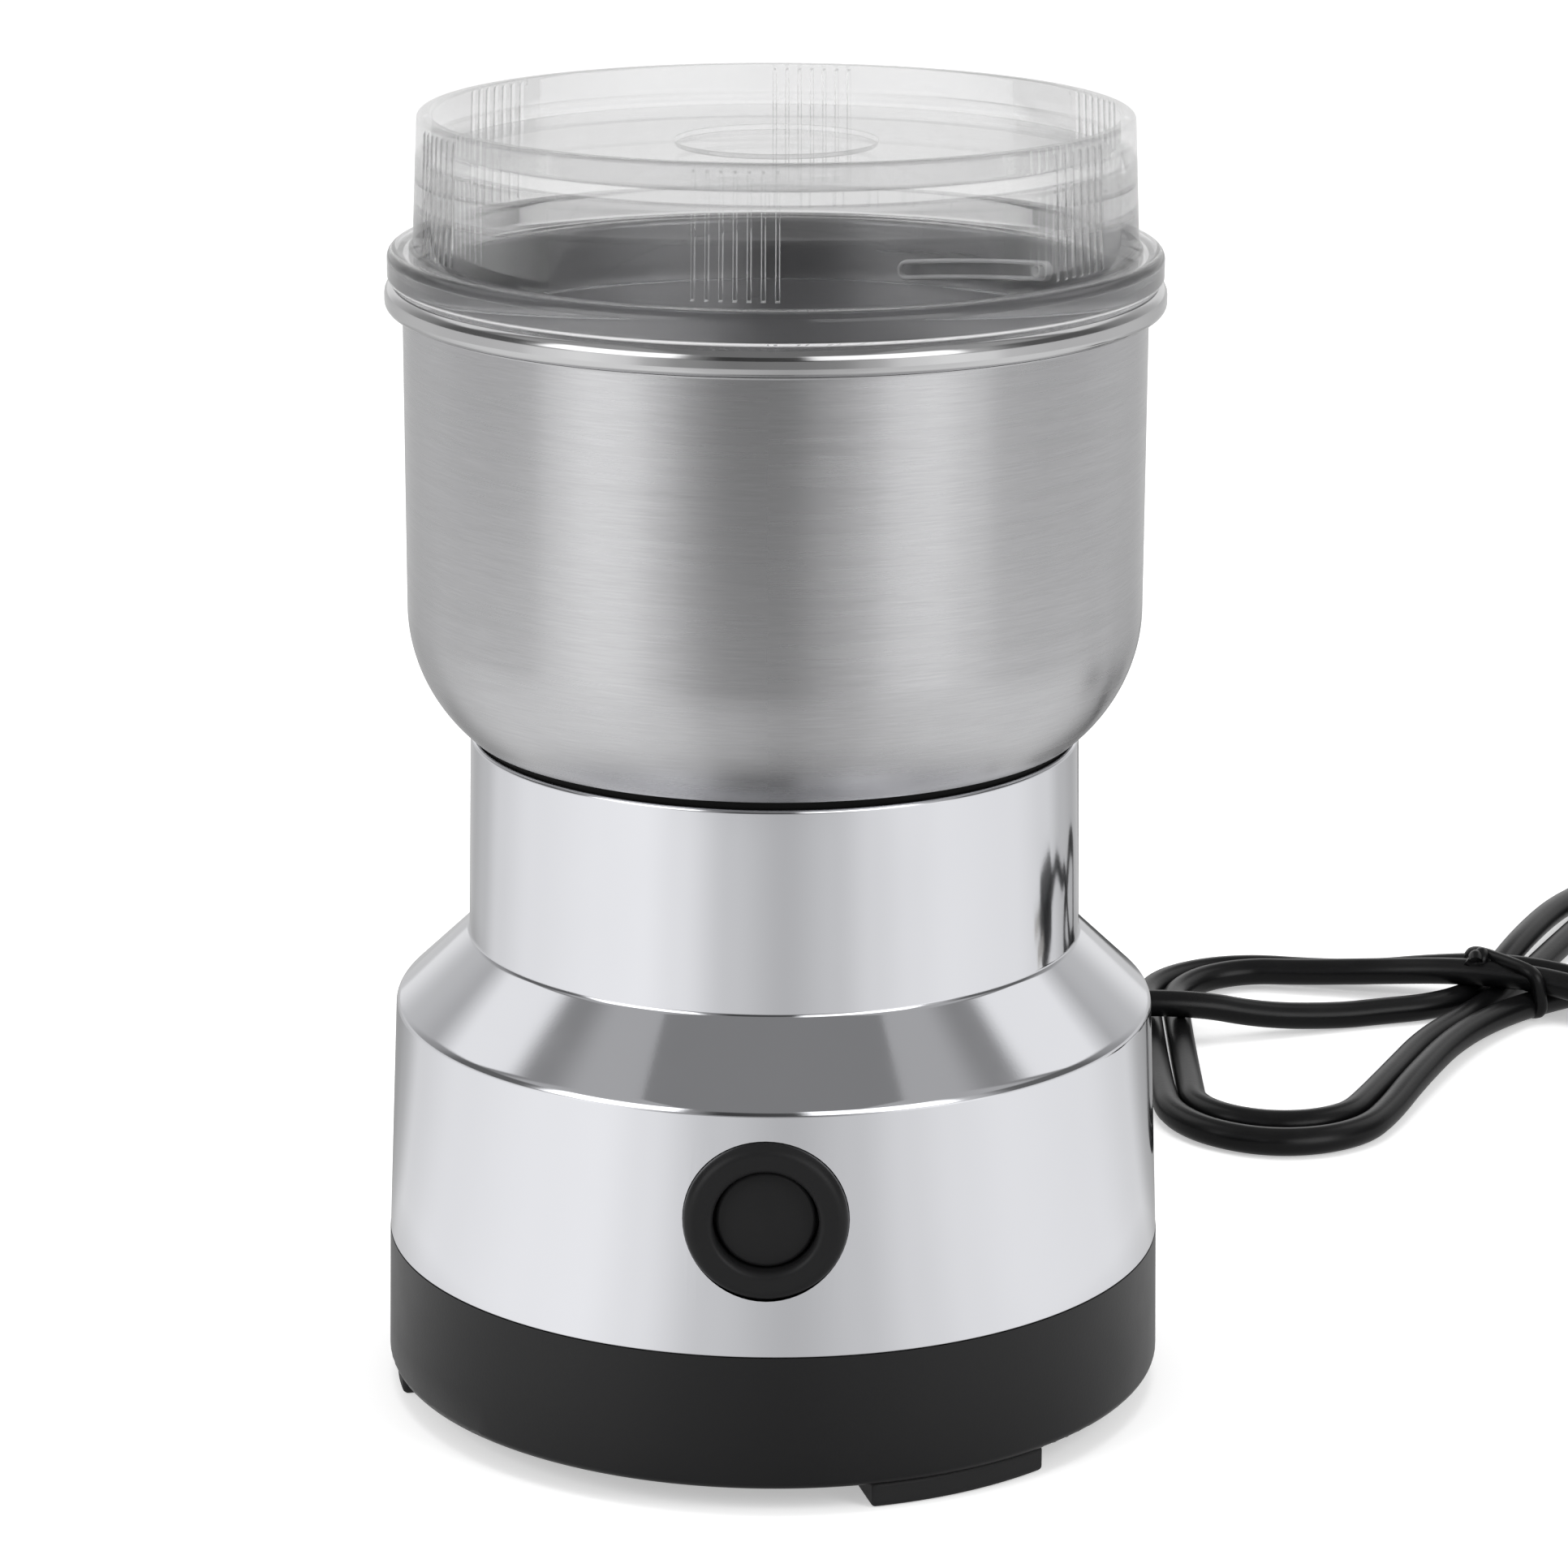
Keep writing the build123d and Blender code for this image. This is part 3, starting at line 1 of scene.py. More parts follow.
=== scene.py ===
import bmesh
import bpy
import math
from mathutils import Matrix, Vector
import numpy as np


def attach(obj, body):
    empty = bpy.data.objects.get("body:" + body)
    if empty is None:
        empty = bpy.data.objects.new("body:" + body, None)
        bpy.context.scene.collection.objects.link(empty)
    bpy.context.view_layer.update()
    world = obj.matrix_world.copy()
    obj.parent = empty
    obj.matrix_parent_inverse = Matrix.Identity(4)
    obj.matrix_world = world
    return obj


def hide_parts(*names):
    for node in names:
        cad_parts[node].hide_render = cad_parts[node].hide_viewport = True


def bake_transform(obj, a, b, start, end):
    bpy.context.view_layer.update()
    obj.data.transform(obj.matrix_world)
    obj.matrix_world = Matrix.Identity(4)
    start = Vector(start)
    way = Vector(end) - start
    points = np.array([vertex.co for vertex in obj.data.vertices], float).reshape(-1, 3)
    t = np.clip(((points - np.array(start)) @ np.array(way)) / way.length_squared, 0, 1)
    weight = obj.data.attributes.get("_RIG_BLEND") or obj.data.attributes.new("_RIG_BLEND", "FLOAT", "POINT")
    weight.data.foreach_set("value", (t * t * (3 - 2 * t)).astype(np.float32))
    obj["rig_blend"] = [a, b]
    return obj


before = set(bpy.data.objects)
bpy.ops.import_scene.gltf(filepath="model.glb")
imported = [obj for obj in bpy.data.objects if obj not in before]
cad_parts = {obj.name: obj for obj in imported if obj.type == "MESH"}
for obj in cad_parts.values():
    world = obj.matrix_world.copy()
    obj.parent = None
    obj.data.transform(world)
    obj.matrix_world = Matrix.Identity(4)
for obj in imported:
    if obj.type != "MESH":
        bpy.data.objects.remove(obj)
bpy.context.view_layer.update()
mm = 0.001


# ---------------------------------------------------------------- feet
# Three curved pads of black rubber under the base ring. They are moulded with a
# soft edge and pressed into the base, so only the lower 3.4 mm shows.
foot_outer, foot_inner, foot_height = 51.0, 42.0, 3.4
foot_sweep, foot_middles = 29.0, (30.0, 150.0, 270.0)
foot_rounding, foot_soft_edge = 0.8, 0.5
crisp_angle = math.radians(32)


def node(tree, kind, fed=None, **values):
    """Adds a node. Values set its properties or inputs; fed gives inputs a socket or value."""
    made = tree.nodes.new(kind)
    for key, value in values.items():
        if hasattr(made, key):
            setattr(made, key, value)
        else:
            made.inputs[key.replace("_", " ")].default_value = value
    for key, source in (fed or {}).items():
        if isinstance(source, bpy.types.NodeSocket):
            tree.links.new(source, made.inputs[key])
        else:
            made.inputs[key].default_value = source
    return made


def maths(tree, operation, *terms):
    """The result of a Math node over sockets or plain numbers."""
    return node(tree, "ShaderNodeMath", dict(enumerate(terms)), operation=operation).outputs[0]


def fitted(tree, value, start, stop, to_start=0.0, to_stop=1.0):
    """A value carried over from one range to another, and kept inside it."""
    ends = {"From Min": start, "From Max": stop, "To Min": to_start, "To Max": to_stop}
    return node(tree, "ShaderNodeMapRange", {"Value": value, **ends}).outputs["Result"]


def mixed(tree, share, first, second, way="MIX"):
    """A colour between two colours, or the second laid over the first."""
    colours = {0: share, 6: first, 7: second}
    return node(tree, "ShaderNodeMix", colours, data_type="RGBA", blend_type=way).outputs[2]


def noise(tree, place, scale, detail, roughness=0.5):
    """Soft clouds of values over a place."""
    sizes = {"Vector": place, "Scale": scale, "Detail": detail, "Roughness": roughness}
    return node(tree, "ShaderNodeTexNoise", sizes).outputs["Fac"]


def object_place(tree):
    """The place on the piece, in metres."""
    return node(tree, "ShaderNodeTexCoord").outputs["Object"]


def parts_of(tree, vector):
    """The X, Y and Z of a vector."""
    return node(tree, "ShaderNodeSeparateXYZ", {"Vector": vector}).outputs


def bumped(tree, height, strength, distance):
    """The surface's direction on a fine relief."""
    relief = {"Height": height, "Strength": strength, "Distance": distance}
    return node(tree, "ShaderNodeBump", relief).outputs["Normal"]


def new_finish(name, **plain):
    """A material with one Principled shader, whose own sockets take the plain values."""
    finish = bpy.data.materials.new(name)
    finish.use_nodes = True
    shader = finish.node_tree.nodes["Principled BSDF"]
    for socket, value in plain.items():
        shader.inputs[socket.replace("_", " ")].default_value = value
    return finish, finish.node_tree, shader


def skin_group(name, **inputs):
    """A shader group that puts out a colour, a roughness and a normal. Returns its inputs too."""
    group = bpy.data.node_groups.new(name, "ShaderNodeTree")
    for label, value in inputs.items():
        label = label.replace("_", " ")
        kind = "NodeSocketColor" if isinstance(value, tuple) else "NodeSocketFloat"
        socket = group.interface.new_socket(label, in_out="INPUT", socket_type=kind)
        socket.default_value = value
    for label, kind in (("Colour", "Color"), ("Roughness", "Float"), ("Normal", "Vector")):
        group.interface.new_socket(label, in_out="OUTPUT", socket_type="NodeSocket" + kind)
    return group, group.nodes.new("NodeGroupInput").outputs


def lay_skin(tree, shader, group, **values):
    """Puts a skin group with its own values into a material."""
    skin = node(tree, "ShaderNodeGroup", node_tree=group, **values)
    tree.links.new(skin.outputs["Colour"], shader.inputs["Base Color"])
    tree.links.new(skin.outputs["Roughness"], shader.inputs["Roughness"])
    tree.links.new(skin.outputs["Normal"], shader.inputs["Normal"])


# Moulded surface: fine spark-eroded grain, slow changes of gloss, and dust that
# lies on faces turned upwards.
moulded_skin, given = skin_group(
    "moulded_surface",
    Colour=(0.02, 0.02, 0.02, 1), Roughness=0.4, Grain_Size=3000.0, Grain_Depth=0.1, Mottle=0.15,
    Dust=0.02,
)
place = object_place(moulded_skin)
grain = noise(moulded_skin, place, given["Grain Size"], 3.0, 0.6)
cloud = noise(moulded_skin, place, 90.0, 4.0, 0.62)
upward = parts_of(moulded_skin, node(moulded_skin, "ShaderNodeNewGeometry").outputs["Normal"])["Z"]
lying = fitted(moulded_skin, upward, 0.3, 1.0)
specks = fitted(moulded_skin, cloud, 0.45, 0.75)
settled = maths(moulded_skin, "MULTIPLY", lying, specks)
dust = maths(moulded_skin, "MULTIPLY", settled, given["Dust"])
swing = maths(moulded_skin, "SUBTRACT", cloud, 0.5)
node(moulded_skin, "NodeGroupOutput", {
    "Colour": mixed(moulded_skin, dust, given["Colour"], (0.6, 0.58, 0.55, 1)),
    "Roughness": maths(moulded_skin, "MULTIPLY_ADD", swing, given["Mottle"], given["Roughness"]),
    "Normal": bumped(moulded_skin, grain, given["Grain Depth"], 0.0001),
})


def moulded_finish(
    name, colour, roughness, grain_size=3000.0, grain_depth=0.1, mottle=0.15, dust=0.02, **plain
):
    """Plastic or rubber out of a mould."""
    finish, tree, shader = new_finish(name, **plain)
    lay_skin(
        tree, shader, moulded_skin, Colour=(*colour, 1), Roughness=roughness,
        Grain_Size=grain_size, Grain_Depth=grain_depth, Mottle=mottle, Dust=dust,
    )
    return finish


def rounded(corners, steps=8):
    """Outline through (radius, height, rounding) corners, its roundings drawn as arcs."""
    outline = []
    for i, (r, z, size) in enumerate(corners):
        here = Vector((r, z))
        if size == 0:
            outline.append((r, z))
            continue
        back = (Vector(corners[i - 1][:2]) - here).normalized()
        ahead = (Vector(corners[(i + 1) % len(corners)][:2]) - here).normalized()
        half = math.acos(max(-1, min(1, back.dot(ahead)))) / 2
        centre = here + (back + ahead).normalized() * (size / math.sin(half))
        first = here + back * (size / math.tan(half)) - centre
        last = here + ahead * (size / math.tan(half)) - centre
        turn = first.angle_signed(last)
        # A ring just outside each end of the arc keeps the flat beside it flat.
        beside = size * 0.08
        outline.append(tuple(centre + first + back * beside))
        for k in range(steps + 1):
            spoke = first.copy()
            spoke.rotate(Matrix.Rotation(-turn * k / steps, 2))
            outline.append(tuple(centre + spoke))
        outline.append(tuple(centre + last + ahead * beside))
    return outline


def skin_of(name, faces_of):
    """An object from a bmesh that faces_of fills, with smooth faces and crisp edges."""
    mesh = bmesh.new()
    faces_of(mesh)
    bmesh.ops.recalc_face_normals(mesh, faces=mesh.faces)
    data = bpy.data.meshes.new(name)
    mesh.to_mesh(data)
    mesh.free()
    data.shade_smooth()
    data.set_sharp_from_angle(angle=crisp_angle)
    piece = bpy.data.objects.new(name, data)
    bpy.context.scene.collection.objects.link(piece)
    return piece


def turned(name, corners, segments=192, sweep=None, steps=8, place=None, bearings=None):
    """A lathe-turned piece from (radius, height, rounding) corners in millimetres."""
    outline = rounded(corners, steps)
    angles = [2 * math.pi * k / segments for k in range(segments)]
    if bearings:
        angles = [math.radians(b) for b in bearings]
    if sweep:
        start, stop = sweep
        angles = [math.radians(start + (stop - start) * k / segments) for k in range(segments + 1)]
    on_axis = 1e-6

    def fill(mesh):
        rings = []
        for r, z in outline:
            if r < on_axis:
                rings.append([mesh.verts.new((0, 0, z * mm))] * len(angles))
            else:
                points = [(r * mm * math.sin(a), -r * mm * math.cos(a), z * mm) for a in angles]
                rings.append([mesh.verts.new(point) for point in points])
        spans = len(angles) - 1 if sweep else len(angles)
        for low, high in zip(rings, rings[1:] + rings[:1]):
            for k in range(spans):
                n = (k + 1) % len(angles)
                around_face = list(dict.fromkeys((low[k], low[n], high[n], high[k])))
                if len(around_face) > 2:
                    mesh.faces.new(around_face)
        if sweep:
            mesh.faces.new([ring[0] for ring in rings])
            mesh.faces.new([ring[-1] for ring in rings])
        if place:
            mesh.transform(place)

    return skin_of(name, fill)


foot_rubber = moulded_finish(
    "foot_rubber", (0.014, 0.014, 0.0145), 0.6, 2200.0, 0.25, 0.2, 0.03, Specular_IOR_Level=0.3)
for number, middle in enumerate(foot_middles):
    foot = turned(
        f"foot_{number + 1}",
        (
            (foot_inner, 0, foot_rounding),
            (foot_outer, 0, foot_rounding),
            (foot_outer, foot_height, 0),
            (foot_inner, foot_height, 0),
        ),
        segments=24,
        sweep=(middle - foot_sweep / 2, middle + foot_sweep / 2),
    )
    soften = foot.modifiers.new("soft_edge", "BEVEL")
    soften.width = foot_soft_edge * mm
    soften.segments = 3
    foot.data.materials.append(foot_rubber)
    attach(foot, "body")
    if number == 0:
        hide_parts("feet")


# ---------------------------------------------------------------- base ring
# Black moulded ring with a floor, which carries the screw posts, the saddle of the
# lead and the air slots. Its shape is the CAD solid's own, joined up.
base_plastic = moulded_finish(
    "base_plastic", (0.008, 0.008, 0.0086), 0.34, 2600.0, 0.12, 0.12, 0.02, Specular_IOR_Level=0.3)


def smooth_copy(node_name, name):
    """A CAD node's mesh, joined up and shaded smooth, as a piece of its own."""
    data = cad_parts[node_name].data.copy()
    data.name = name
    mesh = bmesh.new()
    mesh.from_mesh(data)
    bmesh.ops.remove_doubles(mesh, verts=mesh.verts, dist=2e-6)
    mesh.to_mesh(data)
    mesh.free()
    data.materials.clear()
    for layer in [a.name for a in data.attributes if a.name.startswith("custom_normal")]:
        data.attributes.remove(data.attributes[layer])
    data.shade_smooth()
    data.set_sharp_from_angle(angle=crisp_angle)
    piece = bpy.data.objects.new(name, data)
    bpy.context.scene.collection.objects.link(piece)
    return piece


base_ring = smooth_copy("base_cover", "base_ring")
base_ring.data.materials.append(base_plastic)
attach(base_ring, "body")
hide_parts("base_cover")


# ---------------------------------------------------------------- housing
# One pressed and silver plated shell: lower body, sloped shoulder and neck. The
# plating is polished, with the faint waviness and haze that polishing leaves.
button_height, button_hole_radius = 39.3, 10.5
neck_top, shaft_hole = 89.0, 6.1

# Metal skin: slow changes of tone and gloss, and a fine grain.
metal_skin, given = skin_group(
    "metal_skin",
    Dark_Tone=(0.5, 0.5, 0.5, 1), Light_Tone=(0.6, 0.6, 0.6, 1),
    Low_Roughness=0.2, High_Roughness=0.3,
    Cloud_Size=400.0, Grain_Size=2600.0, Grain_Depth=0.02,
)
place = object_place(metal_skin)
haze = noise(metal_skin, place, given["Cloud Size"], 5.0, 0.62)
fine = noise(metal_skin, place, given["Grain Size"], 2.0)
low, high = given["Low Roughness"], given["High Roughness"]
node(metal_skin, "NodeGroupOutput", {
    "Colour": mixed(metal_skin, haze, given["Dark Tone"], given["Light Tone"]),
    "Roughness": fitted(metal_skin, haze, 0.3, 0.7, low, high),
    "Normal": bumped(metal_skin, fine, given["Grain Depth"], 0.00005),
})


def two_tones(colour, spread):
    """A darker and a lighter tone of one colour."""
    return {
        "Dark_Tone": (*[c * (1 - spread) for c in colour], 1),
        "Light_Tone": (*[min(1, c * (1 + spread)) for c in colour], 1),
    }


def metal_finish(
    name, colour, roughness, spread=0.08, cloud_size=400.0, grain_size=2600.0, grain_depth=0.05
):
    """Bare or plated metal; roughness is its (low, high) pair."""
    finish, tree, shader = new_finish(name, Metallic=1.0)
    lay_skin(
        tree, shader, metal_skin, **two_tones(colour, spread),
        Low_Roughness=roughness[0], High_Roughness=roughness[1],
        Cloud_Size=cloud_size, Grain_Size=grain_size, Grain_Depth=grain_depth,
    )
    return finish


def settle(piece):
    """Keeps what the piece's modifiers make as its plain mesh."""
    modified = piece.evaluated_get(bpy.context.evaluated_depsgraph_get())
    made = bpy.data.meshes.new_from_object(modified)
    piece.modifiers.clear()
    piece.data = made
    made.materials.clear()
    made.shade_smooth()
    made.set_sharp_from_angle(angle=crisp_angle)


silver = metal_finish("silver_plate", (0.735, 0.74, 0.77), (0.06, 0.12), 0.027, 45.0, 2600.0, 0.02)
to_front = Matrix.Rotation(math.radians(90), 4, "X")

# A lip stands round the top of the neck and hides most of the gasket's edge.
housing = turned(
    "housing_shell",
    (
        (51.6, 21.3, 0.25),
        (50.3, 53.5, 1.8),
        (40.5, 62.8, 0.9),
        (40.0, neck_top + 0.65, 0.5),
        (39.35, neck_top + 0.65, 0.2),
        (39.35, neck_top, 0),
        (shaft_hole, neck_top, 0),
        (shaft_hole, 86.6, 0),
        (37.95, 86.6, 0.5),
        (38.5, 62.02, 0.5),
        (48.3, 52.72, 1.0),
        (49.6, 21.3, 0),
    ),
    segments=256,
)
cutter_reach, cutter_place = 20, -50 * mm
button_hole = turned(
    "button_hole_cutter",
    (
        (0, -cutter_reach, 0),
        (button_hole_radius, -cutter_reach, 0),
        (button_hole_radius, cutter_reach, 0),
        (0, cutter_reach, 0),
    ),
    segments=64,
    place=Matrix.Translation((0, cutter_place, button_height * mm)) @ to_front,
)
cut = housing.modifiers.new("button_hole", "BOOLEAN")
cut.object = button_hole
cut.operation = "DIFFERENCE"
cut.solver = "EXACT"
settle(housing)
bpy.data.objects.remove(button_hole)
housing.data.materials.append(silver)
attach(housing, "body")
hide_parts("housing")


# ---------------------------------------------------------------- push button
# Black moulded bezel with a rolled lip, and a flat cap that travels 2 mm inside it
# on a light coil spring.
button_plastic = moulded_finish(
    "button_plastic", (0.0135, 0.0135, 0.014), 0.34, 3600.0, 0.1, 0.1, 0.0, Specular_IOR_Level=0.14)
bezel_front, well_radius, lip_radius, step_radius, barrel_radius = 51.853, 6.65, 10.4, 9.2, 8.1
lip_depth, barrel_depth, well_depth = 2.35, 7.25, 4.5
bezel = turned(
    "button_bezel_ring",
    (
        (well_radius, bezel_front, 0.9),
        (lip_radius, bezel_front, 1.5),
        (lip_radius, bezel_front - lip_depth, 0),
        (step_radius, bezel_front - lip_depth, 0),
        (step_radius, bezel_front - barrel_depth, 0),
        (barrel_radius, bezel_front - barrel_depth, 0),
        (barrel_radius, bezel_front - well_depth, 0),
        (well_radius, bezel_front - well_depth, 0),
    ),
    segments=128,
    steps=12,
    place=Matrix.Translation((0, 0, button_height * mm)) @ to_front,
)
bezel.data.materials.append(button_plastic)
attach(bezel, "body")
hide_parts("button_bezel")
cap = smooth_copy("button_cap", "button_cap_face")
cap.data.materials.append(button_plastic)
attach(cap, "button")
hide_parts("button_cap")
# The spring stands on the bracket and its last turn travels with the cap.
spring_steel = metal_finish("spring_steel", (0.48, 0.48, 0.5), (0.24, 0.38), 0.15)
spring_from, spring_to = -41.1, -45.86
coil = smooth_copy("button_spring", "button_coil")
coil.data.materials.append(spring_steel)
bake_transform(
    coil,
    "body",
    "button",
    start=(0, spring_from * mm, button_height * mm),
    end=(0, spring_to * mm, button_height * mm),
)
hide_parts("button_spring")


# ---------------------------------------------------------------- gasket
# Flat black rubber ring that the bowl is screwed down on.
gasket_inner, gasket_outer, gasket_rounding, bowl_low = 34.3, 39.3, 0.3, 90.8
gasket_rubber = moulded_finish(
    "gasket_rubber", (0.004, 0.004, 0.004), 0.6, 2400.0, 0.2, 0.2, 0.0, Specular_IOR_Level=0.1)
gasket = turned(
    "gasket_ring",
    (
        (gasket_inner, neck_top, 0),
        (gasket_outer, neck_top, gasket_rounding),
        (gasket_outer, bowl_low, gasket_rounding),
        (gasket_inner, bowl_low, 0),
    ),
)
gasket.data.materials.append(gasket_rubber)
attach(gasket, "body")
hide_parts("bowl_gasket")


# ---------------------------------------------------------------- bowl
# Deep drawn steel cup, brushed round its outside on a lathe, with a polished bead
# rolled at the rim.
bowl_floor, bowl_rim = 91.8, 149.8
bowl_outer, bowl_inner, bead_outer, bead_low = 48.0, 47.0, 50.3, 146.1
corner_outer, corner_inner = 21.25, 20.25
corner_rise_outer, corner_rise_inner, wall_foot = 16.2, 15.2, 125.0

# Brushed rings: the fine streaks that a lathe brush leaves round the Z axis.
brushed_rings, given = skin_group(
    "brushed_rings",
    Dark_Tone=(0.5, 0.5, 0.5, 1), Light_Tone=(0.6, 0.6, 0.6, 1),
    Low_Roughness=0.2, High_Roughness=0.3, Streak_Depth=0.05,
)
at = parts_of(brushed_rings, object_place(brushed_rings))
x_squared = maths(brushed_rings, "MULTIPLY", at["X"], at["X"])
r_squared = maths(brushed_rings, "MULTIPLY_ADD", at["Y"], at["Y"], x_squared)
from_axis = maths(brushed_rings, "SQRT", r_squared)
streak_stretch = 0.002
angle = maths(brushed_rings, "ARCTAN2", at["X"], at["Y"])
around = maths(brushed_rings, "MULTIPLY", angle, streak_stretch)
ring_parts = {"X": around, "Y": from_axis, "Z": at["Z"]}
ring_place = node(brushed_rings, "ShaderNodeCombineXYZ", ring_parts).outputs[0]
streaks = noise(brushed_rings, ring_place, 4200.0, 5.0, 0.75)
bands = noise(brushed_rings, ring_place, 700.0, 3.0, 0.6)
low, high = given["Low Roughness"], given["High Roughness"]
node(brushed_rings, "NodeGroupOutput", {
    "Colour": mixed(brushed_rings, streaks, given["Dark Tone"], given["Light Tone"]),
    "Roughness": fitted(brushed_rings, bands, 0.3, 0.7, low, high),
    "Normal": bumped(brushed_rings, streaks, given["Streak Depth"], 0.00006),
})


def brushed_finish(name, colour, roughness, streak_depth, anisotropy, spread=0.14):
    """Steel brushed on a lathe; its gloss stretches across the streaks."""
    finish, tree, shader = new_finish(
        name, Metallic=1.0, Anisotropic=anisotropy, Anisotropic_Rotation=0.25)
    lay_skin(
        tree, shader, brushed_rings, **two_tones(colour, spread),
        Low_Roughness=roughness * 0.9, High_Roughness=roughness * 1.12, Streak_Depth=streak_depth,
    )
    tangent = node(tree, "ShaderNodeTangent", direction_type="RADIAL", axis="Z")
    tree.links.new(tangent.outputs["Tangent"], shader.inputs["Tangent"])
    return finish


def corner_arc(radius, start, stop, steps=24):
    """Points of the bowl's round lower corner between two angles in degrees."""
    angles = [math.radians(start + (stop - start) * k / steps) for k in range(steps + 1)]
    out, up = bowl_outer - corner_outer, bowl_low + corner_rise_outer
    return [(out + radius * math.cos(a), up + radius * math.sin(a), 0) for a in angles]


brushed_steel = brushed_finish("brushed_steel", (0.53, 0.53, 0.54), 0.26, 0.08, 0.8)
inner_steel = brushed_finish("inner_steel", (0.60, 0.60, 0.61), 0.3, 0.0, 0.9, 0.07)
bead_steel = metal_finish(
    "bead_steel", (0.555, 0.555, 0.56), (0.08, 0.16), 0.05, 160.0, 2600.0, 0.01)

turn_outer = math.degrees(math.asin(corner_rise_outer / corner_outer))
turn_inner = math.degrees(math.asin(corner_rise_inner / corner_inner))
bowl = turned(
    "steel_bowl",
    [
        (7.0, bowl_low, 0),
        *corner_arc(corner_outer, -turn_outer, 0),
        (bowl_outer, wall_foot, 0),
        (bowl_outer, bead_low + 0.8, 0.6),
        (bowl_outer + 0.9, bead_low, 0.4),
        (bead_outer, bead_low, 1.2),
        (bead_outer, bowl_rim, 1.6),
        (bowl_inner, bowl_rim, 0.8),
        (bowl_inner, wall_foot, 0),
        *corner_arc(corner_inner, 0, -turn_inner),
        (shaft_hole, bowl_floor, 0),
        (shaft_hole, bowl_low, 0),
    ],
    segments=256,
    steps=6,
)
for finish in (brushed_steel, bead_steel, inner_steel):
    bowl.data.materials.append(finish)
bead_slot, inside_slot = 1, 2
bead_from, bead_foot = 47.2 * mm, 146.0 * mm
for face in bowl.data.polygons:
    x, y, z = face.center
    outward = face.normal.x * x + face.normal.y * y - face.normal.z * mm
    if z > bead_foot and math.hypot(x, y) > bead_from:
        face.material_index = bead_slot
    elif math.hypot(x, y) < bead_from and outward < 0:
        face.material_index = inside_slot
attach(bowl, "body")
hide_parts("bowl")


# ---------------------------------------------------------------- lid
# Clear moulded cover with a raised rim and a sunk panel. Its flange rests on the
# bead, its skirt goes into the bowl, and six groups of fine ribs give it grip.
clear_ior = 1.49


def distance_of(tree, vector):
    """The length of a vector."""
    return node(tree, "ShaderNodeVectorMath", {0: vector}, operation="LENGTH").outputs["Value"]


clear, tree, shader = new_finish(
    "clear_plastic", IOR=clear_ior, Specular_IOR_Level=0.22, Transmission_Weight=1.0)
place = object_place(tree)
smear = noise(tree, place, 60.0, 5.0, 0.65)
clearness = mixed(tree, smear, (0.985, 0.985, 0.993, 1), (0.97, 0.97, 0.98, 1))
tree.links.new(clearness, shader.inputs["Base Color"])
tree.links.new(fitted(tree, smear, 0.45, 0.75, 0.004, 0.025), shader.inputs["Roughness"])

# Most light passes the thin walls and skirt straight. The panel and rim bend about
# a third of it, a wall seen edge on two thirds, and the thick flange nearly all.
panel_low, panel_high = 0.1650, 0.1662
wall_edge, flange_edge = 0.0467, 0.0472
level_place = node(tree, "ShaderNodeVectorMath", {0: place, 1: (1, 1, 0)}, operation="MULTIPLY")
from_axis = distance_of(tree, level_place.outputs["Vector"])
height = parts_of(tree, place)["Z"]
facing = node(tree, "ShaderNodeLayerWeight", Blend=0.5).outputs["Facing"]
wall_share = fitted(tree, facing, 0.28, 0.6, 0.9, 0.35)
upper_share = fitted(tree, height, panel_low, panel_high, wall_share, 0.62)
share = fitted(tree, from_axis, wall_edge, flange_edge, upper_share, 0.05)
wall_tint = fitted(tree, facing, 0.3, 0.95, 0.94, 0.9)
tint = fitted(tree, height, panel_low, panel_high, wall_tint, 0.975)
straight = node(tree, "ShaderNodeBsdfTransparent", {"Color": tint}).outputs[0]
# Light that has bounced long inside the moulding is let out.
bounces = node(tree, "ShaderNodeLightPath").outputs["Ray Depth"]
let_out = fitted(tree, bounces, 2.0, 4.0, share, 1.0)
moulding = node(tree, "ShaderNodeMixShader", {0: let_out, 1: shader.outputs[0], 2: straight})
tree.links.new(moulding.outputs[0], tree.nodes["Material Output"].inputs["Surface"])

rib_groups, ribs_per_group, first_rib_group = 6, 7, -5.0
rib_pitch, rib_width, rib_height = 1.7, 0.6, 0.35
rib_bottom, rib_top, lid_radius = 154.65, 170.45, 46.3
panel_top, rim_top, flange_top, skirt_low = 167.5, 171.2, 154.0, 141.4
flange_outer, skirt_outer = 49.9, 46.5
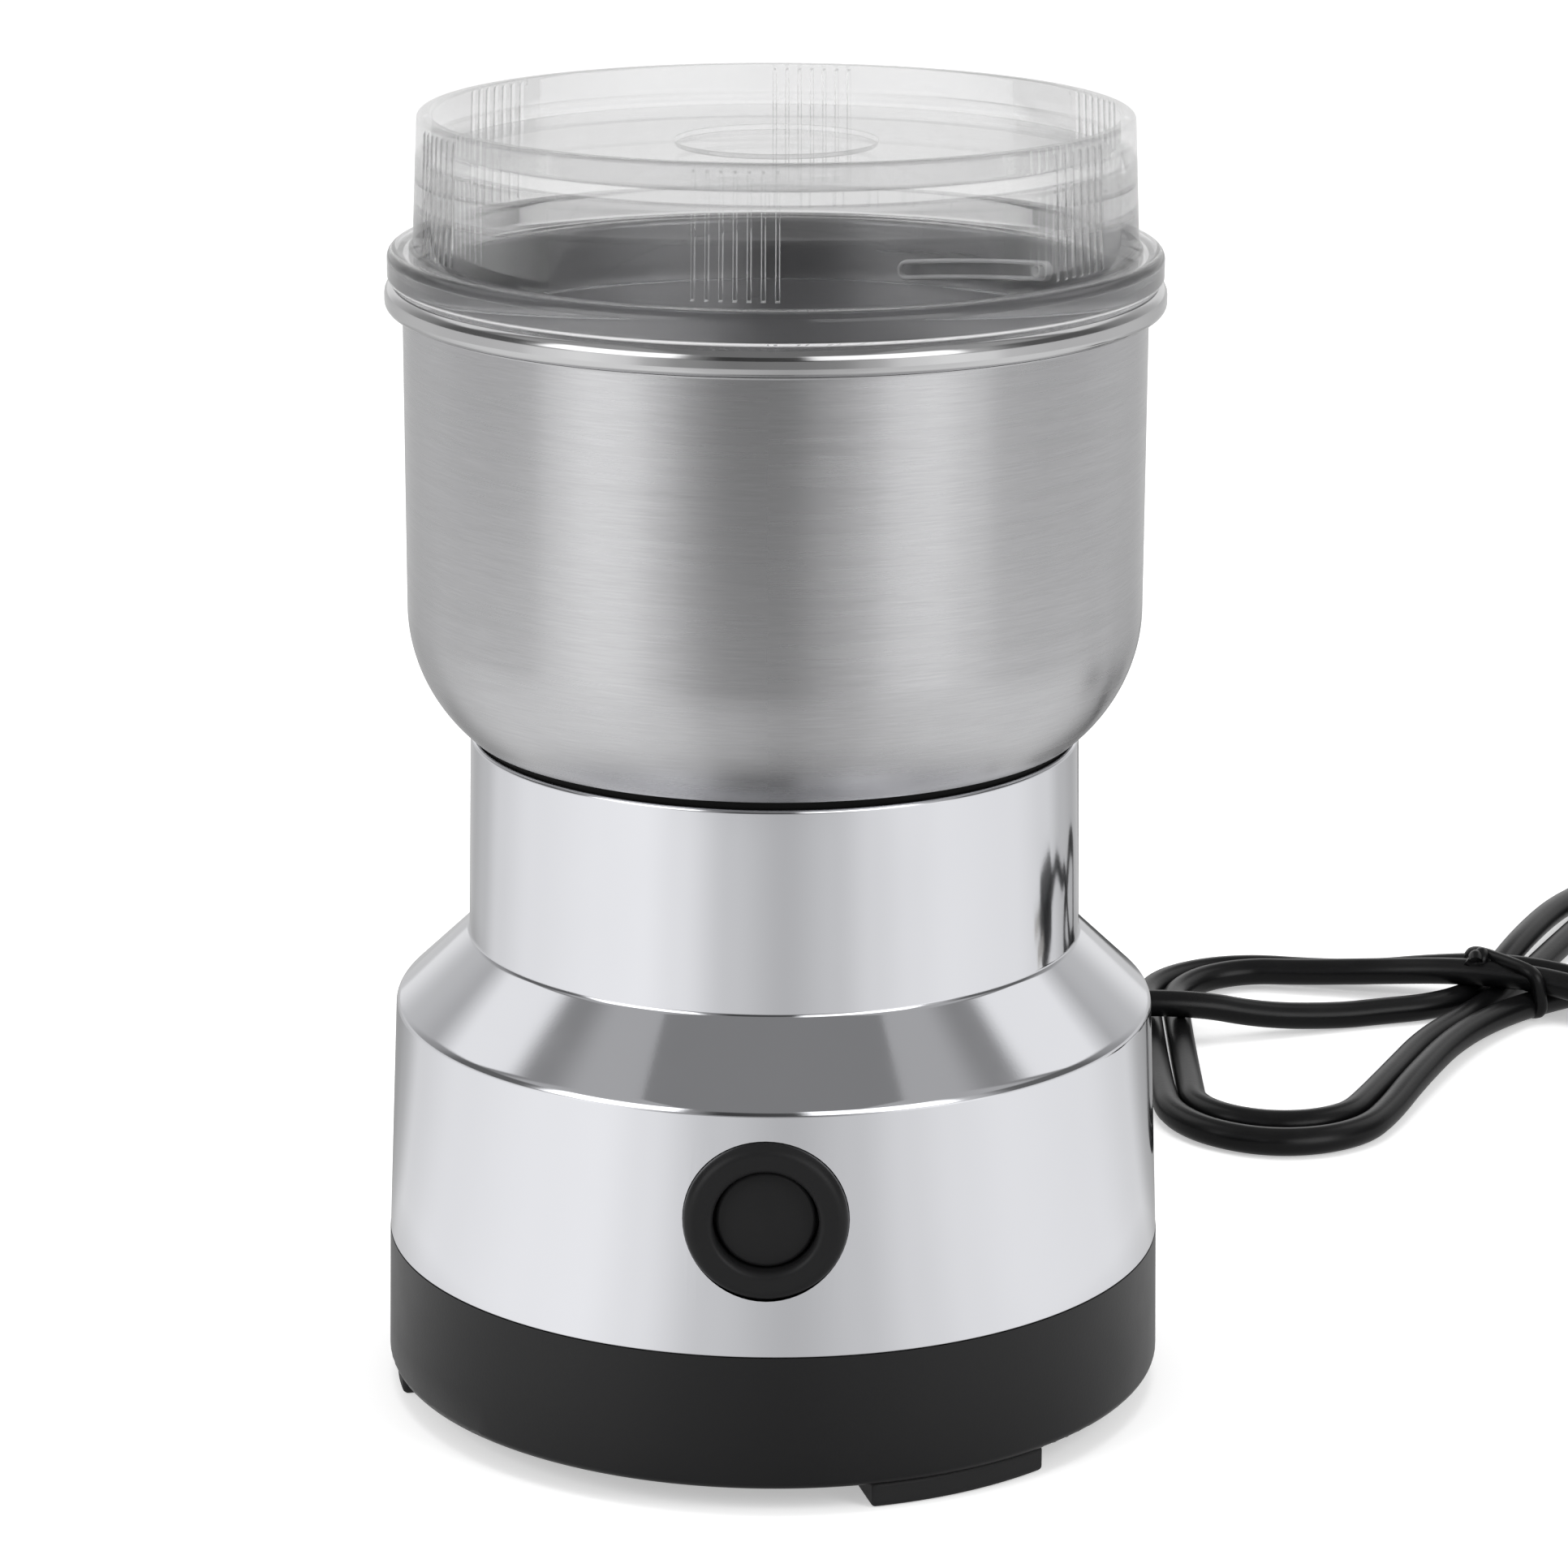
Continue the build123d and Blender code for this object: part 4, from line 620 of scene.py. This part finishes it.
# The wall has points on each rib's edges, and evenly spread ones between the ribs.
edge_lines = (-0.5, -0.26, 0.26, 0.5)
rib_lines = []
for group in range(rib_groups):
    for k in range(ribs_per_group):
        along = (k - (ribs_per_group - 1) / 2) * rib_pitch
        middle = first_rib_group + group * 360 / rib_groups + math.degrees(along / lid_radius)
        rib_lines += [middle + math.degrees(side * rib_width / lid_radius) for side in edge_lines]
plain_step, plain_count, first_plain, clear_of_rib = 1.5, 240, -40, 0.3
plain_lines = [k * plain_step + first_plain for k in range(plain_count)]
plain_lines = [
    a for a in plain_lines if min(abs((a - b + 180) % 360 - 180) for b in rib_lines) > clear_of_rib]
lid = turned(
    "clear_lid",
    (
        (0, 166.8, 0),
        (12.0, 166.8, 0),
        (13.0, 166.8, 0.2),
        (13.0, panel_top, 0.2),
        (44.01, panel_top, 0.6),
        (43.85, rim_top, 0.5),
        (45.85, rim_top, 0.7),
        (45.883, rib_top, 0),
        (45.898, 170.1, 0),
        (46.2, 163.0, 0),
        (46.556, 155.0, 0),
        (46.572, rib_bottom, 0),
        (46.6, flange_top, 0.5),
        (flange_outer, flange_top, 1.2),
        (flange_outer, bowl_rim, 0.8),
        (skirt_outer, bowl_rim, 0),
        (skirt_outer, skirt_low, 0.5),
        (44.5, skirt_low, 0.5),
        (44.08, 165.9, 1.0),
        (0, 165.9, 0),
    ),
    steps=6,
    bearings=sorted(((a + 180) % 360) - 180 for a in rib_lines + plain_lines),
)


def geometry_tree(name, **inputs):
    """A geometry node tree with a Geometry socket and named inputs. Returns the inputs too."""
    tree = bpy.data.node_groups.new(name, "GeometryNodeTree")
    tree.interface.new_socket("Geometry", in_out="INPUT", socket_type="NodeSocketGeometry")
    tree.interface.new_socket("Geometry", in_out="OUTPUT", socket_type="NodeSocketGeometry")
    for label, kind in inputs.items():
        label, kind = label.replace("_", " "), "NodeSocket" + kind
        tree.interface.new_socket(label, in_out="INPUT", socket_type=kind)
    return tree, tree.nodes.new("NodeGroupInput").outputs


def grown(piece, tree, finish, **sizes):
    """Runs a geometry tree on a piece and keeps the result as its plain mesh."""
    maker = piece.modifiers.new(tree.name, "NODES")
    maker.node_group = tree
    for socket in tree.interface.items_tree:
        label = socket.name.replace(" ", "_")
        if socket.in_out == "INPUT" and label in sizes:
            maker[socket.identifier] = sizes[label]
    bpy.context.view_layer.update()
    settle(piece)
    piece.data.materials.append(finish)


def bearing_of(tree, at):
    """Angle round the object in degrees, 0 towards the front and 90 towards +X."""
    turn = maths(tree, "ARCTAN2", at["X"], maths(tree, "MULTIPLY", at["Y"], -1))
    return maths(tree, "DEGREES", turn)


# The ribs are a rule of the wall: it stands out where a rib passes.
rib_tree, given = geometry_tree(
    "upright_ribs", Groups="Int", First_Group="Float", Ribs_per_Group="Int", Wall_Radius="Float",
    Pitch="Float", Width="Float", Height="Float", Bottom="Float", Top="Float", Finish="Material",
)


def rib_maths(operation, *terms):
    """A Math node of the rib tree."""
    return maths(rib_tree, operation, *terms)


rib_end_slope, wall_depth = 0.3 * mm, 1.0 * mm
at = parts_of(rib_tree, node(rib_tree, "GeometryNodeInputPosition").outputs[0])
radius = rib_maths("SQRT", rib_maths(
    "ADD", rib_maths("MULTIPLY", at["X"], at["X"]), rib_maths("MULTIPLY", at["Y"], at["Y"])))
# How far along the wall a point is from the middle of its group, and of its rib.
half_step = rib_maths("DIVIDE", 180, given["Groups"])
from_first = rib_maths("SUBTRACT", bearing_of(rib_tree, at), given["First Group"])
in_group = rib_maths("WRAP", from_first, half_step, rib_maths("MULTIPLY", half_step, -1))
arc = rib_maths("MULTIPLY", rib_maths("RADIANS", in_group), given["Wall Radius"])
half_pitch = rib_maths("DIVIDE", given["Pitch"], 2)
from_rib = rib_maths("WRAP", arc, half_pitch, rib_maths("MULTIPLY", half_pitch, -1))
off_rib = rib_maths("ABSOLUTE", from_rib)
# A rib has sloped sides, sloped ends, and only stands on the outer wall.
foot_edge = rib_maths("MULTIPLY", given["Width"], 0.48)
top_edge = rib_maths("MULTIPLY", given["Width"], 0.27)
on_rib = fitted(rib_tree, off_rib, foot_edge, top_edge)
half_group = rib_maths("MULTIPLY", half_pitch, given["Ribs per Group"])
inside_group = rib_maths("LESS_THAN", rib_maths("ABSOLUTE", arc), half_group)
above = fitted(rib_tree, at["Z"], given["Bottom"], rib_maths("ADD", given["Bottom"], rib_end_slope))
below = fitted(rib_tree, at["Z"], given["Top"], rib_maths("SUBTRACT", given["Top"], rib_end_slope))
inner_side = rib_maths("SUBTRACT", given["Wall Radius"], wall_depth)
outer_wall = rib_maths("GREATER_THAN", radius, inner_side)
between_ends = rib_maths("MULTIPLY", rib_maths("MULTIPLY", above, below), outer_wall)
lift = rib_maths("MULTIPLY", rib_maths("MULTIPLY", on_rib, inside_group), between_ends)
reach = rib_maths("DIVIDE", rib_maths("MULTIPLY", lift, given["Height"]), radius)
outwards = {"X": rib_maths("MULTIPLY", at["X"], reach), "Y": rib_maths("MULTIPLY", at["Y"], reach)}
offset = node(rib_tree, "ShaderNodeCombineXYZ", outwards).outputs[0]
wall = {"Geometry": given["Geometry"], "Offset": offset}
moved = node(rib_tree, "GeometryNodeSetPosition", wall).outputs[0]
real = {"Geometry": node(rib_tree, "GeometryNodeRealizeInstances", {"Geometry": moved}).outputs[0]}
finished = node(rib_tree, "GeometryNodeSetMaterial", {**real, "Material": given["Finish"]})
node(rib_tree, "NodeGroupOutput", {"Geometry": finished.outputs[0]})
grown(
    lid, rib_tree, clear, Finish=clear,
    Groups=rib_groups, First_Group=first_rib_group, Ribs_per_Group=ribs_per_group,
    Wall_Radius=lid_radius * mm, Pitch=rib_pitch * mm, Width=rib_width * mm,
    Height=rib_height * mm, Bottom=rib_bottom * mm, Top=rib_top * mm,
)
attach(lid, "lid")
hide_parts("lid")

# The key rib inside the skirt: a long raised outline with an eye at one end.
key_clear, tree, shader = new_finish(
    "clear_key_plastic", IOR=clear_ior, Transmission_Weight=0.35, Roughness=0.08)
smear = noise(tree, object_place(tree), 300.0, 3.0)
clearness = mixed(tree, smear, (0.93, 0.93, 0.94, 1), (0.97, 0.97, 0.98, 1))
tree.links.new(clearness, shader.inputs["Base Color"])
key_radius, key_height, key_tilt, key_from, key_to = 44.5, 144.8, -0.1, 125.0, 159.0
key_middle = (key_from + key_to) / 2


def raised_outline(name, half_length, half_height, middle, wall, depth, ends=12):
    """A closed low rib that follows a long round-ended outline inside the skirt."""
    straight = half_length - half_height
    # Each point of the path has its outward direction beside it.
    path = []
    for side in (1, -1):
        for k in range(ends + 1):
            a = math.pi * (k / ends - 0.5)
            x, y = side * (straight + half_height * math.cos(a)), side * half_height * math.sin(a)
            path.append((x, y, side * math.cos(a), side * math.sin(a)))
    longest_step = 1.2
    steps = []
    for here, there in zip(path, path[1:] + path[:1]):
        parts = max(1, int(math.hypot(there[0] - here[0], there[1] - here[1]) / longest_step))
        steps += [[a + (b - a) * k / parts for a, b in zip(here, there)] for k in range(parts)]
    # Its section, as steps inwards from the path and rises off the skirt.
    foot = -0.1
    section = (
        (0, foot), (0, depth * 0.6), (wall * 0.3, depth),
        (wall * 0.7, depth), (wall, depth * 0.6), (wall, foot),
    )

    def fill(mesh):
        rings = []
        for x, y, nx, ny in steps:
            ring = []
            for inward, rise in section:
                along, up = x - nx * inward, y - ny * inward
                a = math.radians(middle) + along / key_radius
                r = (key_radius - rise) * mm
                slope = key_tilt * (a - math.radians(key_middle)) * key_radius
                z = (key_height + slope + up) * mm
                ring.append(mesh.verts.new((r * math.sin(a), -r * math.cos(a), z)))
            rings.append(ring)
        for low, high in zip(rings, rings[1:] + rings[:1]):
            for k in range(len(section)):
                n = (k + 1) % len(section)
                mesh.faces.new((low[k], low[n], high[n], high[k]))

    piece = skin_of(name, fill)
    piece.data.materials.append(key_clear)
    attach(piece, "lid")


key_half = math.radians(key_to - key_from) / 2 * key_radius
eye_middle = key_from + math.degrees(2.6 / key_radius)
raised_outline("lid_key_rib", key_half, 1.4, key_middle, 0.62, 0.85)
raised_outline("lid_key_eye", 1.051, 1.05, eye_middle, 0.5, 0.85)


# ---------------------------------------------------------------- motor, switch and screws
# The parts inside keep their CAD shapes and get the finish of the real ones: steel,
# copper wire, sintered bronze, carbon, nylon, rubber and moulded plastic.


def dress(finish, *nodes):
    """Gives CAD nodes a finish."""
    for name in nodes:
        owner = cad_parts[name]
        if not owner.material_slots:
            owner.data.materials.append(finish)
        for slot in owner.material_slots:
            slot.material = finish


dress(
    metal_finish("screw_steel", (0.55, 0.55, 0.56), (0.22, 0.36), 0.15),
    "base_screws", "bowl_screws", "bracket_screws", "switch_screws", "clamp_screws", "switch_pins",
    "motor_shaft", "blade_nut",
)
dress(
    metal_finish("blade_steel", (0.66, 0.66, 0.67), (0.14, 0.24), 0.05, 900.0, 5000.0, 0.04),
    "blade",
)
dress(spring_steel, "brush_spring_left", "brush_spring_right")
dress(
    metal_finish("copper_wire", (0.62, 0.24, 0.11), (0.26, 0.42), 0.2),
    "armature_winding", "commutator", "field_coil_left", "field_coil_right",
)
dress(
    metal_finish("lamination_steel", (0.36, 0.36, 0.38), (0.34, 0.54), 0.2),
    "armature_core", "stator_core",
)
dress(
    metal_finish("bracket_steel", (0.58, 0.59, 0.6), (0.28, 0.45), 0.12),
    "upper_bracket", "lower_bracket", "brush_cap_left", "brush_cap_right",
)
dress(
    metal_finish("bearing_bronze", (0.55, 0.38, 0.2), (0.3, 0.5), 0.15),
    "upper_bearing", "lower_bearing", "switch_terminals",
)
dress(
    moulded_finish("brush_carbon", (0.02, 0.02, 0.021), 0.7),
    "carbon_brush_left", "carbon_brush_right",
)
dress(
    moulded_finish("white_nylon", (0.7, 0.69, 0.64), 0.45, 1500.0, 0.1, 0.1, 0.05),
    "blade_collar", "cooling_fan", "brush_holder_left", "brush_holder_right", "switch_plunger",
)
dress(moulded_finish("seal_rubber", (0.015, 0.015, 0.015), 0.6), "shaft_seal", "motor_mounts")
dress(
    moulded_finish("switch_plastic", (0.02, 0.02, 0.021), 0.42),
    "switch_bracket", "power_switch", "cord_clamp",
)
dress(moulded_finish("suppressor_film", (0.05, 0.14, 0.42), 0.4), "suppressor")
dress(moulded_finish("lead_sheath", (0.25, 0.03, 0.02), 0.45), "lead_wires")


# ---------------------------------------------------------------- mains lead
# Round black lead, 4.4 mm across and 1.2 m long. It leaves the gland at the back
# and is wound in a bow-shaped hank, which a wire tie holds at its waist.
cord_radius = 2.2
cord_rubber = moulded_finish(
    "cord_rubber", (0.004, 0.004, 0.0043), 0.3, 1800.0, 0.15, 0.15, 0.01, Specular_IOR_Level=0.3)
cord_route = (
    # Out of the gland, over the strands beside the body, and round the far fold.
    (0, 80, 12.3), (0, 92, 12.3), (3, 105.5, 7.8), (10.5, 118.5, 3.6),
    (22, 130, 2.2), (36, 137, 3.0), (49, 139.5, 6.6), (65.5, 139.5, 6.8),
    (77, 143, 3.6), (89.5, 147.4, 2.2), (97, 150.1, 2.2), (105.1, 152.7, 2.2),
    (111.7, 158, 2.2), (116.1, 165.9, 2.2), (122.6, 181, 4.2), (131.2, 201.5, 4.0),
    (137.3, 212.5, 3.2), (143, 225.1, 2.5), (155.4, 231.3, 2.2), (169, 228.4, 2.2),
    (177.7, 217.5, 2.2), (177.7, 203.7, 2.2), (177.5, 182, 2.2), (175.6, 163, 2.2),
    (168.5, 151, 2.2), (156, 144.5, 2.4),
    # Over the waist and round the inner fold beside the body.
    (142, 145.5, 3.0), (130.5, 150, 6.0), (121, 154.5, 6.9), (110.5, 158.8, 6.6),
    (97, 164.8, 4.4), (85.1, 167.1, 3.4), (76.4, 168.9, 3.0), (68.2, 165.6, 2.6),
    (63.3, 158.2, 2.2), (63.3, 149.4, 2.2), (63.2, 128, 2.2), (63.3, 110.4, 2.2),
    (63.4, 102.8, 2.2), (67.3, 96.7, 2.2), (73.8, 93.4, 2.2), (81.1, 93.9, 2.2),
    (87.1, 98, 2.2), (90.2, 104.6, 2.2), (95.5, 117.5, 2.2), (103, 136, 2.2),
    # Under the waist and round the far fold, inside the first turn.
    (112.8, 150.5, 2.2), (122.4, 168, 2.2), (129.4, 184, 2.2), (137.6, 202, 2.2),
    (142.2, 212, 2.2), (146.5, 221.6, 2.2), (156, 226.4, 2.2), (166.4, 224.1, 2.2),
    (173, 215.9, 2.2), (173, 205.3, 2.2), (172.9, 190, 2.2), (172.6, 177, 2.2),
    (170.6, 163, 2.2), (163.5, 153, 2.2), (152, 148.8, 2.6),
    # Over the waist and round the outer fold beside the body.
    (140, 150.8, 3.6), (128.5, 156, 6.6), (117, 161, 6.8), (107, 166.8, 4.6),
    (97, 169.3, 2.8), (87.5, 171.5, 2.2), (76, 173.8, 2.2), (65.1, 169.4, 2.2),
    (58.6, 159.7, 2.2), (58.6, 147.9, 2.2), (58.5, 127, 2.2), (58.8, 108, 2.2),
    (59.6, 98.2, 2.2), (64.6, 89.9, 2.2), (72.8, 85.3, 2.2), (81.6, 86, 2.2),
    (89.1, 91.3, 2.2), (93.4, 99.6, 2.4), (98.9, 113.5, 3.2), (107.2, 133, 3.4),
    # Under the waist, over the far strands and into the plug.
    (116.9, 148.2, 2.8), (128, 159.5, 2.2), (139.5, 166.5, 2.2), (153.5, 169.5, 2.6),
    (167, 173.5, 6.6), (182.5, 175, 6.8), (194.5, 175, 3.0), (205, 173, 2.6),
    (212.5, 167.5, 4.2), (216.8, 158.5, 6.0),
    (217.5, 149, 6.85), (217.5, 138, 6.85),
)


def round_wire(name, radius, roundness, finish):
    """An empty curve of round section, for a lead or a wire."""
    line = bpy.data.curves.new(name, "CURVE")
    line.dimensions = "3D"
    line.bevel_depth = radius * mm
    line.bevel_resolution = roundness
    line.use_fill_caps = True
    line.materials.append(finish)
    piece = bpy.data.objects.new(name, line)
    bpy.context.scene.collection.objects.link(piece)
    return piece


def add_strand(wire, route, resolution, closed=False):
    """A smooth line through a wire's control points, given in millimetres."""
    strand = wire.data.splines.new("NURBS")
    strand.points.add(len(route) - 1)
    for point, (x, y, z) in zip(strand.points, route):
        point.co = (x * mm, y * mm, z * mm, 1)
    strand.order_u = 3
    strand.use_cyclic_u = closed
    strand.use_endpoint_u = not closed
    strand.resolution_u = resolution


mains_lead = round_wire("mains_lead", cord_radius, 6, cord_rubber)
add_strand(mains_lead, cord_route, 10)
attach(mains_lead, "body")
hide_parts("power_cord", "cord_hank")
dress(cord_rubber, "plug_body", "cord_tail", "cord_gland")
dress(metal_finish("pin_nickel", (0.66, 0.64, 0.6), (0.16, 0.26), 0.1), "plug_pins")

# The tie: a coated wire bent once round the strands, its ends twisted together. Its
# points are along the strands, across them, and upwards.
tie_x, tie_y, tie_turn, tie_radius = 118.0, 157.0, math.radians(37), 1.15
tie_ring = (
    (0.2, -7.8, 5.1), (0.9, -7.8, 2.2), (1.1, -5.6, 1.15), (1.1, 0, 1.15),
    (1.1, 5.6, 1.15), (0.9, 7.8, 2.2), (-0.2, 7.8, 5.1), (-0.9, 7.8, 8.2),
    (-1.1, 5.6, 9.1), (-1.1, 0, 9.2), (-1.1, -5.6, 9.1), (-0.6, -7.8, 8.2),
)
first_end = (
    (-1.6, 3.9, 8.8), (-2.1, 3.9, 9.5), (-2.6, 3.1, 9.7), (-3.1, 2.5, 9.1),
    (-3.6, 2.8, 8.3), (-4.1, 3.6, 8.2), (-4.7, 4.3, 8.9),
)
second_end = (
    (-1.6, 2.3, 8.8), (-2.1, 2.4, 8.1), (-2.6, 3.2, 7.9), (-3.1, 3.9, 8.5),
    (-3.6, 3.7, 9.3), (-4.1, 2.9, 9.6), (-4.7, 2.3, 9.0),
)
hank_tie = round_wire("hank_tie", tie_radius, 4, cord_rubber)
for path in (tie_ring, first_end, second_end):
    placed = [
        (tie_x + x * math.cos(tie_turn) - y * math.sin(tie_turn),
         tie_y + x * math.sin(tie_turn) + y * math.cos(tie_turn), z)
        for x, y, z in path
    ]
    add_strand(hank_tie, placed, 6, closed=path is tie_ring)
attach(hank_tie, "body")
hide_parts("cord_tie")


# ---------------------------------------------------------------- studio
# White table in a white room. What metal and gloss reflect of it is shaded as a
# product studio is: a dark camera side, bright soft boxes at both sides of it.
scene = bpy.context.scene
scene.view_settings.view_transform = "Standard"


def ramp(tree, source, stops):
    """A grey level that follows a value smoothly, from (value, level) stops."""
    low, high = stops[0][0], stops[-1][0]
    colours = node(tree, "ShaderNodeValToRGB", {"Fac": fitted(tree, source, low, high)})
    colours.color_ramp.interpolation = "EASE"
    elements = colours.color_ramp.elements
    while len(elements) < len(stops):
        elements.new(1.0)
    for element, (value, level) in zip(elements, stops):
        element.position = (value - low) / (high - low)
        element.color = (level, level, level, 1)
    return colours.outputs["Color"]


reach = 8
table_corners = [(-reach, -reach, 0), (reach, -reach, 0), (reach, reach, 0), (-reach, reach, 0)]
table_mesh = bpy.data.meshes.new("table_top")
table_mesh.from_pydata(table_corners, [], [(0, 1, 2, 3)])
table_top = bpy.data.objects.new("table_top", table_mesh)
scene.collection.objects.link(table_top)
table_finish = bpy.data.materials.new("table_white")
table_finish.use_nodes = True
tree = table_finish.node_tree
tree.nodes.clear()
ray = node(tree, "ShaderNodeLightPath").outputs
spot = object_place(tree)
away = distance_of(tree, spot)
around = bearing_of(tree, parts_of(tree, spot))

# As the camera and the clear lid see it: white paper that keeps the shadows.
paper = node(tree, "ShaderNodeBsdfDiffuse", Color=(0.80, 0.80, 0.80, 1))
seen = maths(tree, "MAXIMUM", ray["Is Camera Ray"], ray["Is Transmission Ray"])
paper_lift = maths(tree, "MULTIPLY", seen, fitted(tree, away, 0.3, 1.6, 0.42, 0.6))
lifted = node(tree, "ShaderNodeEmission", {"Strength": paper_lift}, Color=(1, 1, 1, 1))
white = node(tree, "ShaderNodeAddShader", {0: paper.outputs[0], 1: lifted.outputs[0]}).outputs[0]

# As metal and gloss mirror it, level by bearing: near the object, and further out.
near_stops = (
    (-180, 0.8), (-158, 0.56), (-146, 0.50), (-132, 0.60), (-118, 0.82), (-95, 0.97), (-62, 1.06),
    (-46, 1.08), (-32, 0.98), (-14, 0.72), (5, 0.58), (22, 0.70), (36, 0.86), (50, 0.95), (66, 1.0),
    (95, 0.96), (118, 0.82), (132, 0.58), (146, 0.48), (160, 0.56), (163, 0.1), (168, 0.1),
    (171, 0.6), (180, 0.8),
)
far_stops = (
    (-180, 0.7), (-150, 0.62), (-120, 0.76), (-92, 0.74), (-76, 0.80), (-70, 1.02), (-54, 1.18),
    (-42, 1.05), (-33, 0.62), (-25, 0.42), (-10, 0.28), (5, 0.30), (18, 0.36), (28, 0.62),
    (38, 1.0), (52, 1.18), (64, 1.08), (71, 0.80), (90, 0.74), (120, 0.76), (150, 0.62), (180, 0.7),
)
near_tone, far_tone = ramp(tree, around, near_stops), ramp(tree, around, far_stops)
table_tone = mixed(tree, fitted(tree, away, 0.42, 0.46), near_tone, far_tone)
# A painted shadow, standing in for the object's own, darkens the table's mirrored glow close round the
# object's foot, and in a wider patch behind it.
at_back = fitted(tree, maths(tree, "ABSOLUTE", around), 120.0, 138.0, 0.0, 0.28)
back_shade = maths(tree, "MULTIPLY", at_back, fitted(tree, away, 0.24, 0.20))
shade = maths(tree, "MAXIMUM", back_shade, fitted(tree, away, 0.06, 0.11, 0.4, 0.0))
unshaded = maths(tree, "SUBTRACT", 1.0, shade)
# The glow that metal and gloss mirror carries the painted shadow.
glow = node(tree, "ShaderNodeEmission", {"Color": table_tone, "Strength": unshaded}).outputs[0]
shown = node(tree, "ShaderNodeMixShader", {0: ray["Is Glossy Ray"], 1: white, 2: glow})
node(tree, "ShaderNodeOutputMaterial", {"Surface": shown.outputs[0]})
table_mesh.materials.append(table_finish)

world = bpy.data.worlds.new("white_room")
scene.world = world
world.use_nodes = True
tree = world.node_tree
tree.nodes.clear()
towards = parts_of(tree, node(tree, "ShaderNodeTexCoord").outputs["Generated"])
bearing = bearing_of(tree, towards)

# The walls by bearing, and a ceiling that is dark in the middle and white at the back.
wall_stops = (
    (-180, 1.0), (-158, 0.9), (-144, 0.6), (-122, 0.35), (-104, 0.14), (-80, 0.14), (-66, 0.55),
    (-53, 0.98), (-40, 0.92), (-25, 0.35), (-14, 0.06), (10, 0.08), (25, 0.33), (37, 0.88),
    (50, 0.98), (62, 0.55), (78, 0.14), (104, 0.14), (122, 0.35), (144, 0.6), (158, 0.9),
    (180, 1.0),
)
sideways, off_front = maths(tree, "ABSOLUTE", towards["X"]), maths(tree, "ABSOLUTE", bearing)
overhead = ramp(tree, sideways, ((0, 0.255), (0.40, 0.255), (0.43, 1.0), (1, 1.0)))
side_stops = ((0, 0.47), (88, 0.47), (99, 0.28), (103, 0.28), (110, 1.0), (180, 1.0))
sides = ramp(tree, off_front, side_stops)
ceiling = mixed(tree, 1.0, overhead, sides, "DARKEN")
room = mixed(tree, fitted(tree, towards["Z"], 0.40, 0.50), ramp(tree, bearing, wall_stops), ceiling)

# A bright soft box at either side of the camera.
across_stops = (
    (-180, 0), (-74, 0), (-67, 1.0), (-30, 1.0), (-24, 0),
    (8, 0), (14, 1.0), (52, 1.0), (60, 0), (180, 0),
)
upward_stops = ((0, 0), (0.05, 0), (0.12, 1.0), (0.54, 1.0), (0.62, 0), (1, 0))
across, upward = ramp(tree, bearing, across_stops), ramp(tree, towards["Z"], upward_stops)
box_level = maths(tree, "MULTIPLY", maths(tree, "MULTIPLY", across, upward), 1.6)
lit_room = mixed(tree, 1.0, room, box_level, "ADD")

# The camera sees plain white, metal and glass see the room, and matt light is even.
ray = node(tree, "ShaderNodeLightPath").outputs
mirrored = maths(tree, "MAXIMUM", ray["Is Glossy Ray"], ray["Is Transmission Ray"])
seen = maths(tree, "MAXIMUM", mirrored, ray["Is Camera Ray"])
tone = mixed(tree, mirrored, (1, 1, 1, 1), lit_room)
level = fitted(tree, seen, 0.0, 1.0, 0.55, 1.0)
sky = node(tree, "ShaderNodeBackground", {"Color": tone, "Strength": level})
node(tree, "ShaderNodeOutputWorld", {"Surface": sky.outputs[0]})

lamp_aim = Vector((0, 0, 0.08))


def soft_lamp(name, place, width, height, power):
    """A soft box that lights matt surfaces; gloss sees the room's own soft boxes."""
    lamp = bpy.data.lights.new(name, "AREA")
    lamp.shape = "RECTANGLE"
    lamp.size = width
    lamp.size_y = height
    lamp.energy = power
    holder = bpy.data.objects.new(name, lamp)
    holder.location = place
    holder.rotation_euler = (lamp_aim - Vector(place)).to_track_quat("-Z", "Y").to_euler()
    holder.visible_glossy = False
    holder.visible_transmission = False
    scene.collection.objects.link(holder)


soft_lamp("left_softbox", (-0.95, -0.75, 0.75), 0.5, 0.8, 7)
soft_lamp("right_softbox", (0.95, -0.65, 0.75), 0.5, 0.8, 6)
soft_lamp("top_softbox", (0, 0.1, 1.3), 0.7, 0.7, 6)

camera_turn, camera_dip, camera_roll = 0.94, 15.57, 0.19
camera_data = bpy.data.cameras.new("camera")
camera_data.lens = 118.24
camera_data.sensor_width = 36.0
camera_data.clip_end = 100
camera = bpy.data.objects.new("camera", camera_data)
camera.location = (12.02 * mm, -655.79 * mm, 264.7 * mm)
turn = Matrix.Rotation(math.radians(camera_turn), 4, "Z")
dip = Matrix.Rotation(math.radians(90 - camera_dip), 4, "X")
roll = Matrix.Rotation(math.radians(camera_roll), 4, "Z")
camera.rotation_euler = (turn @ dip @ roll).to_euler()
scene.collection.objects.link(camera)
scene.camera = camera
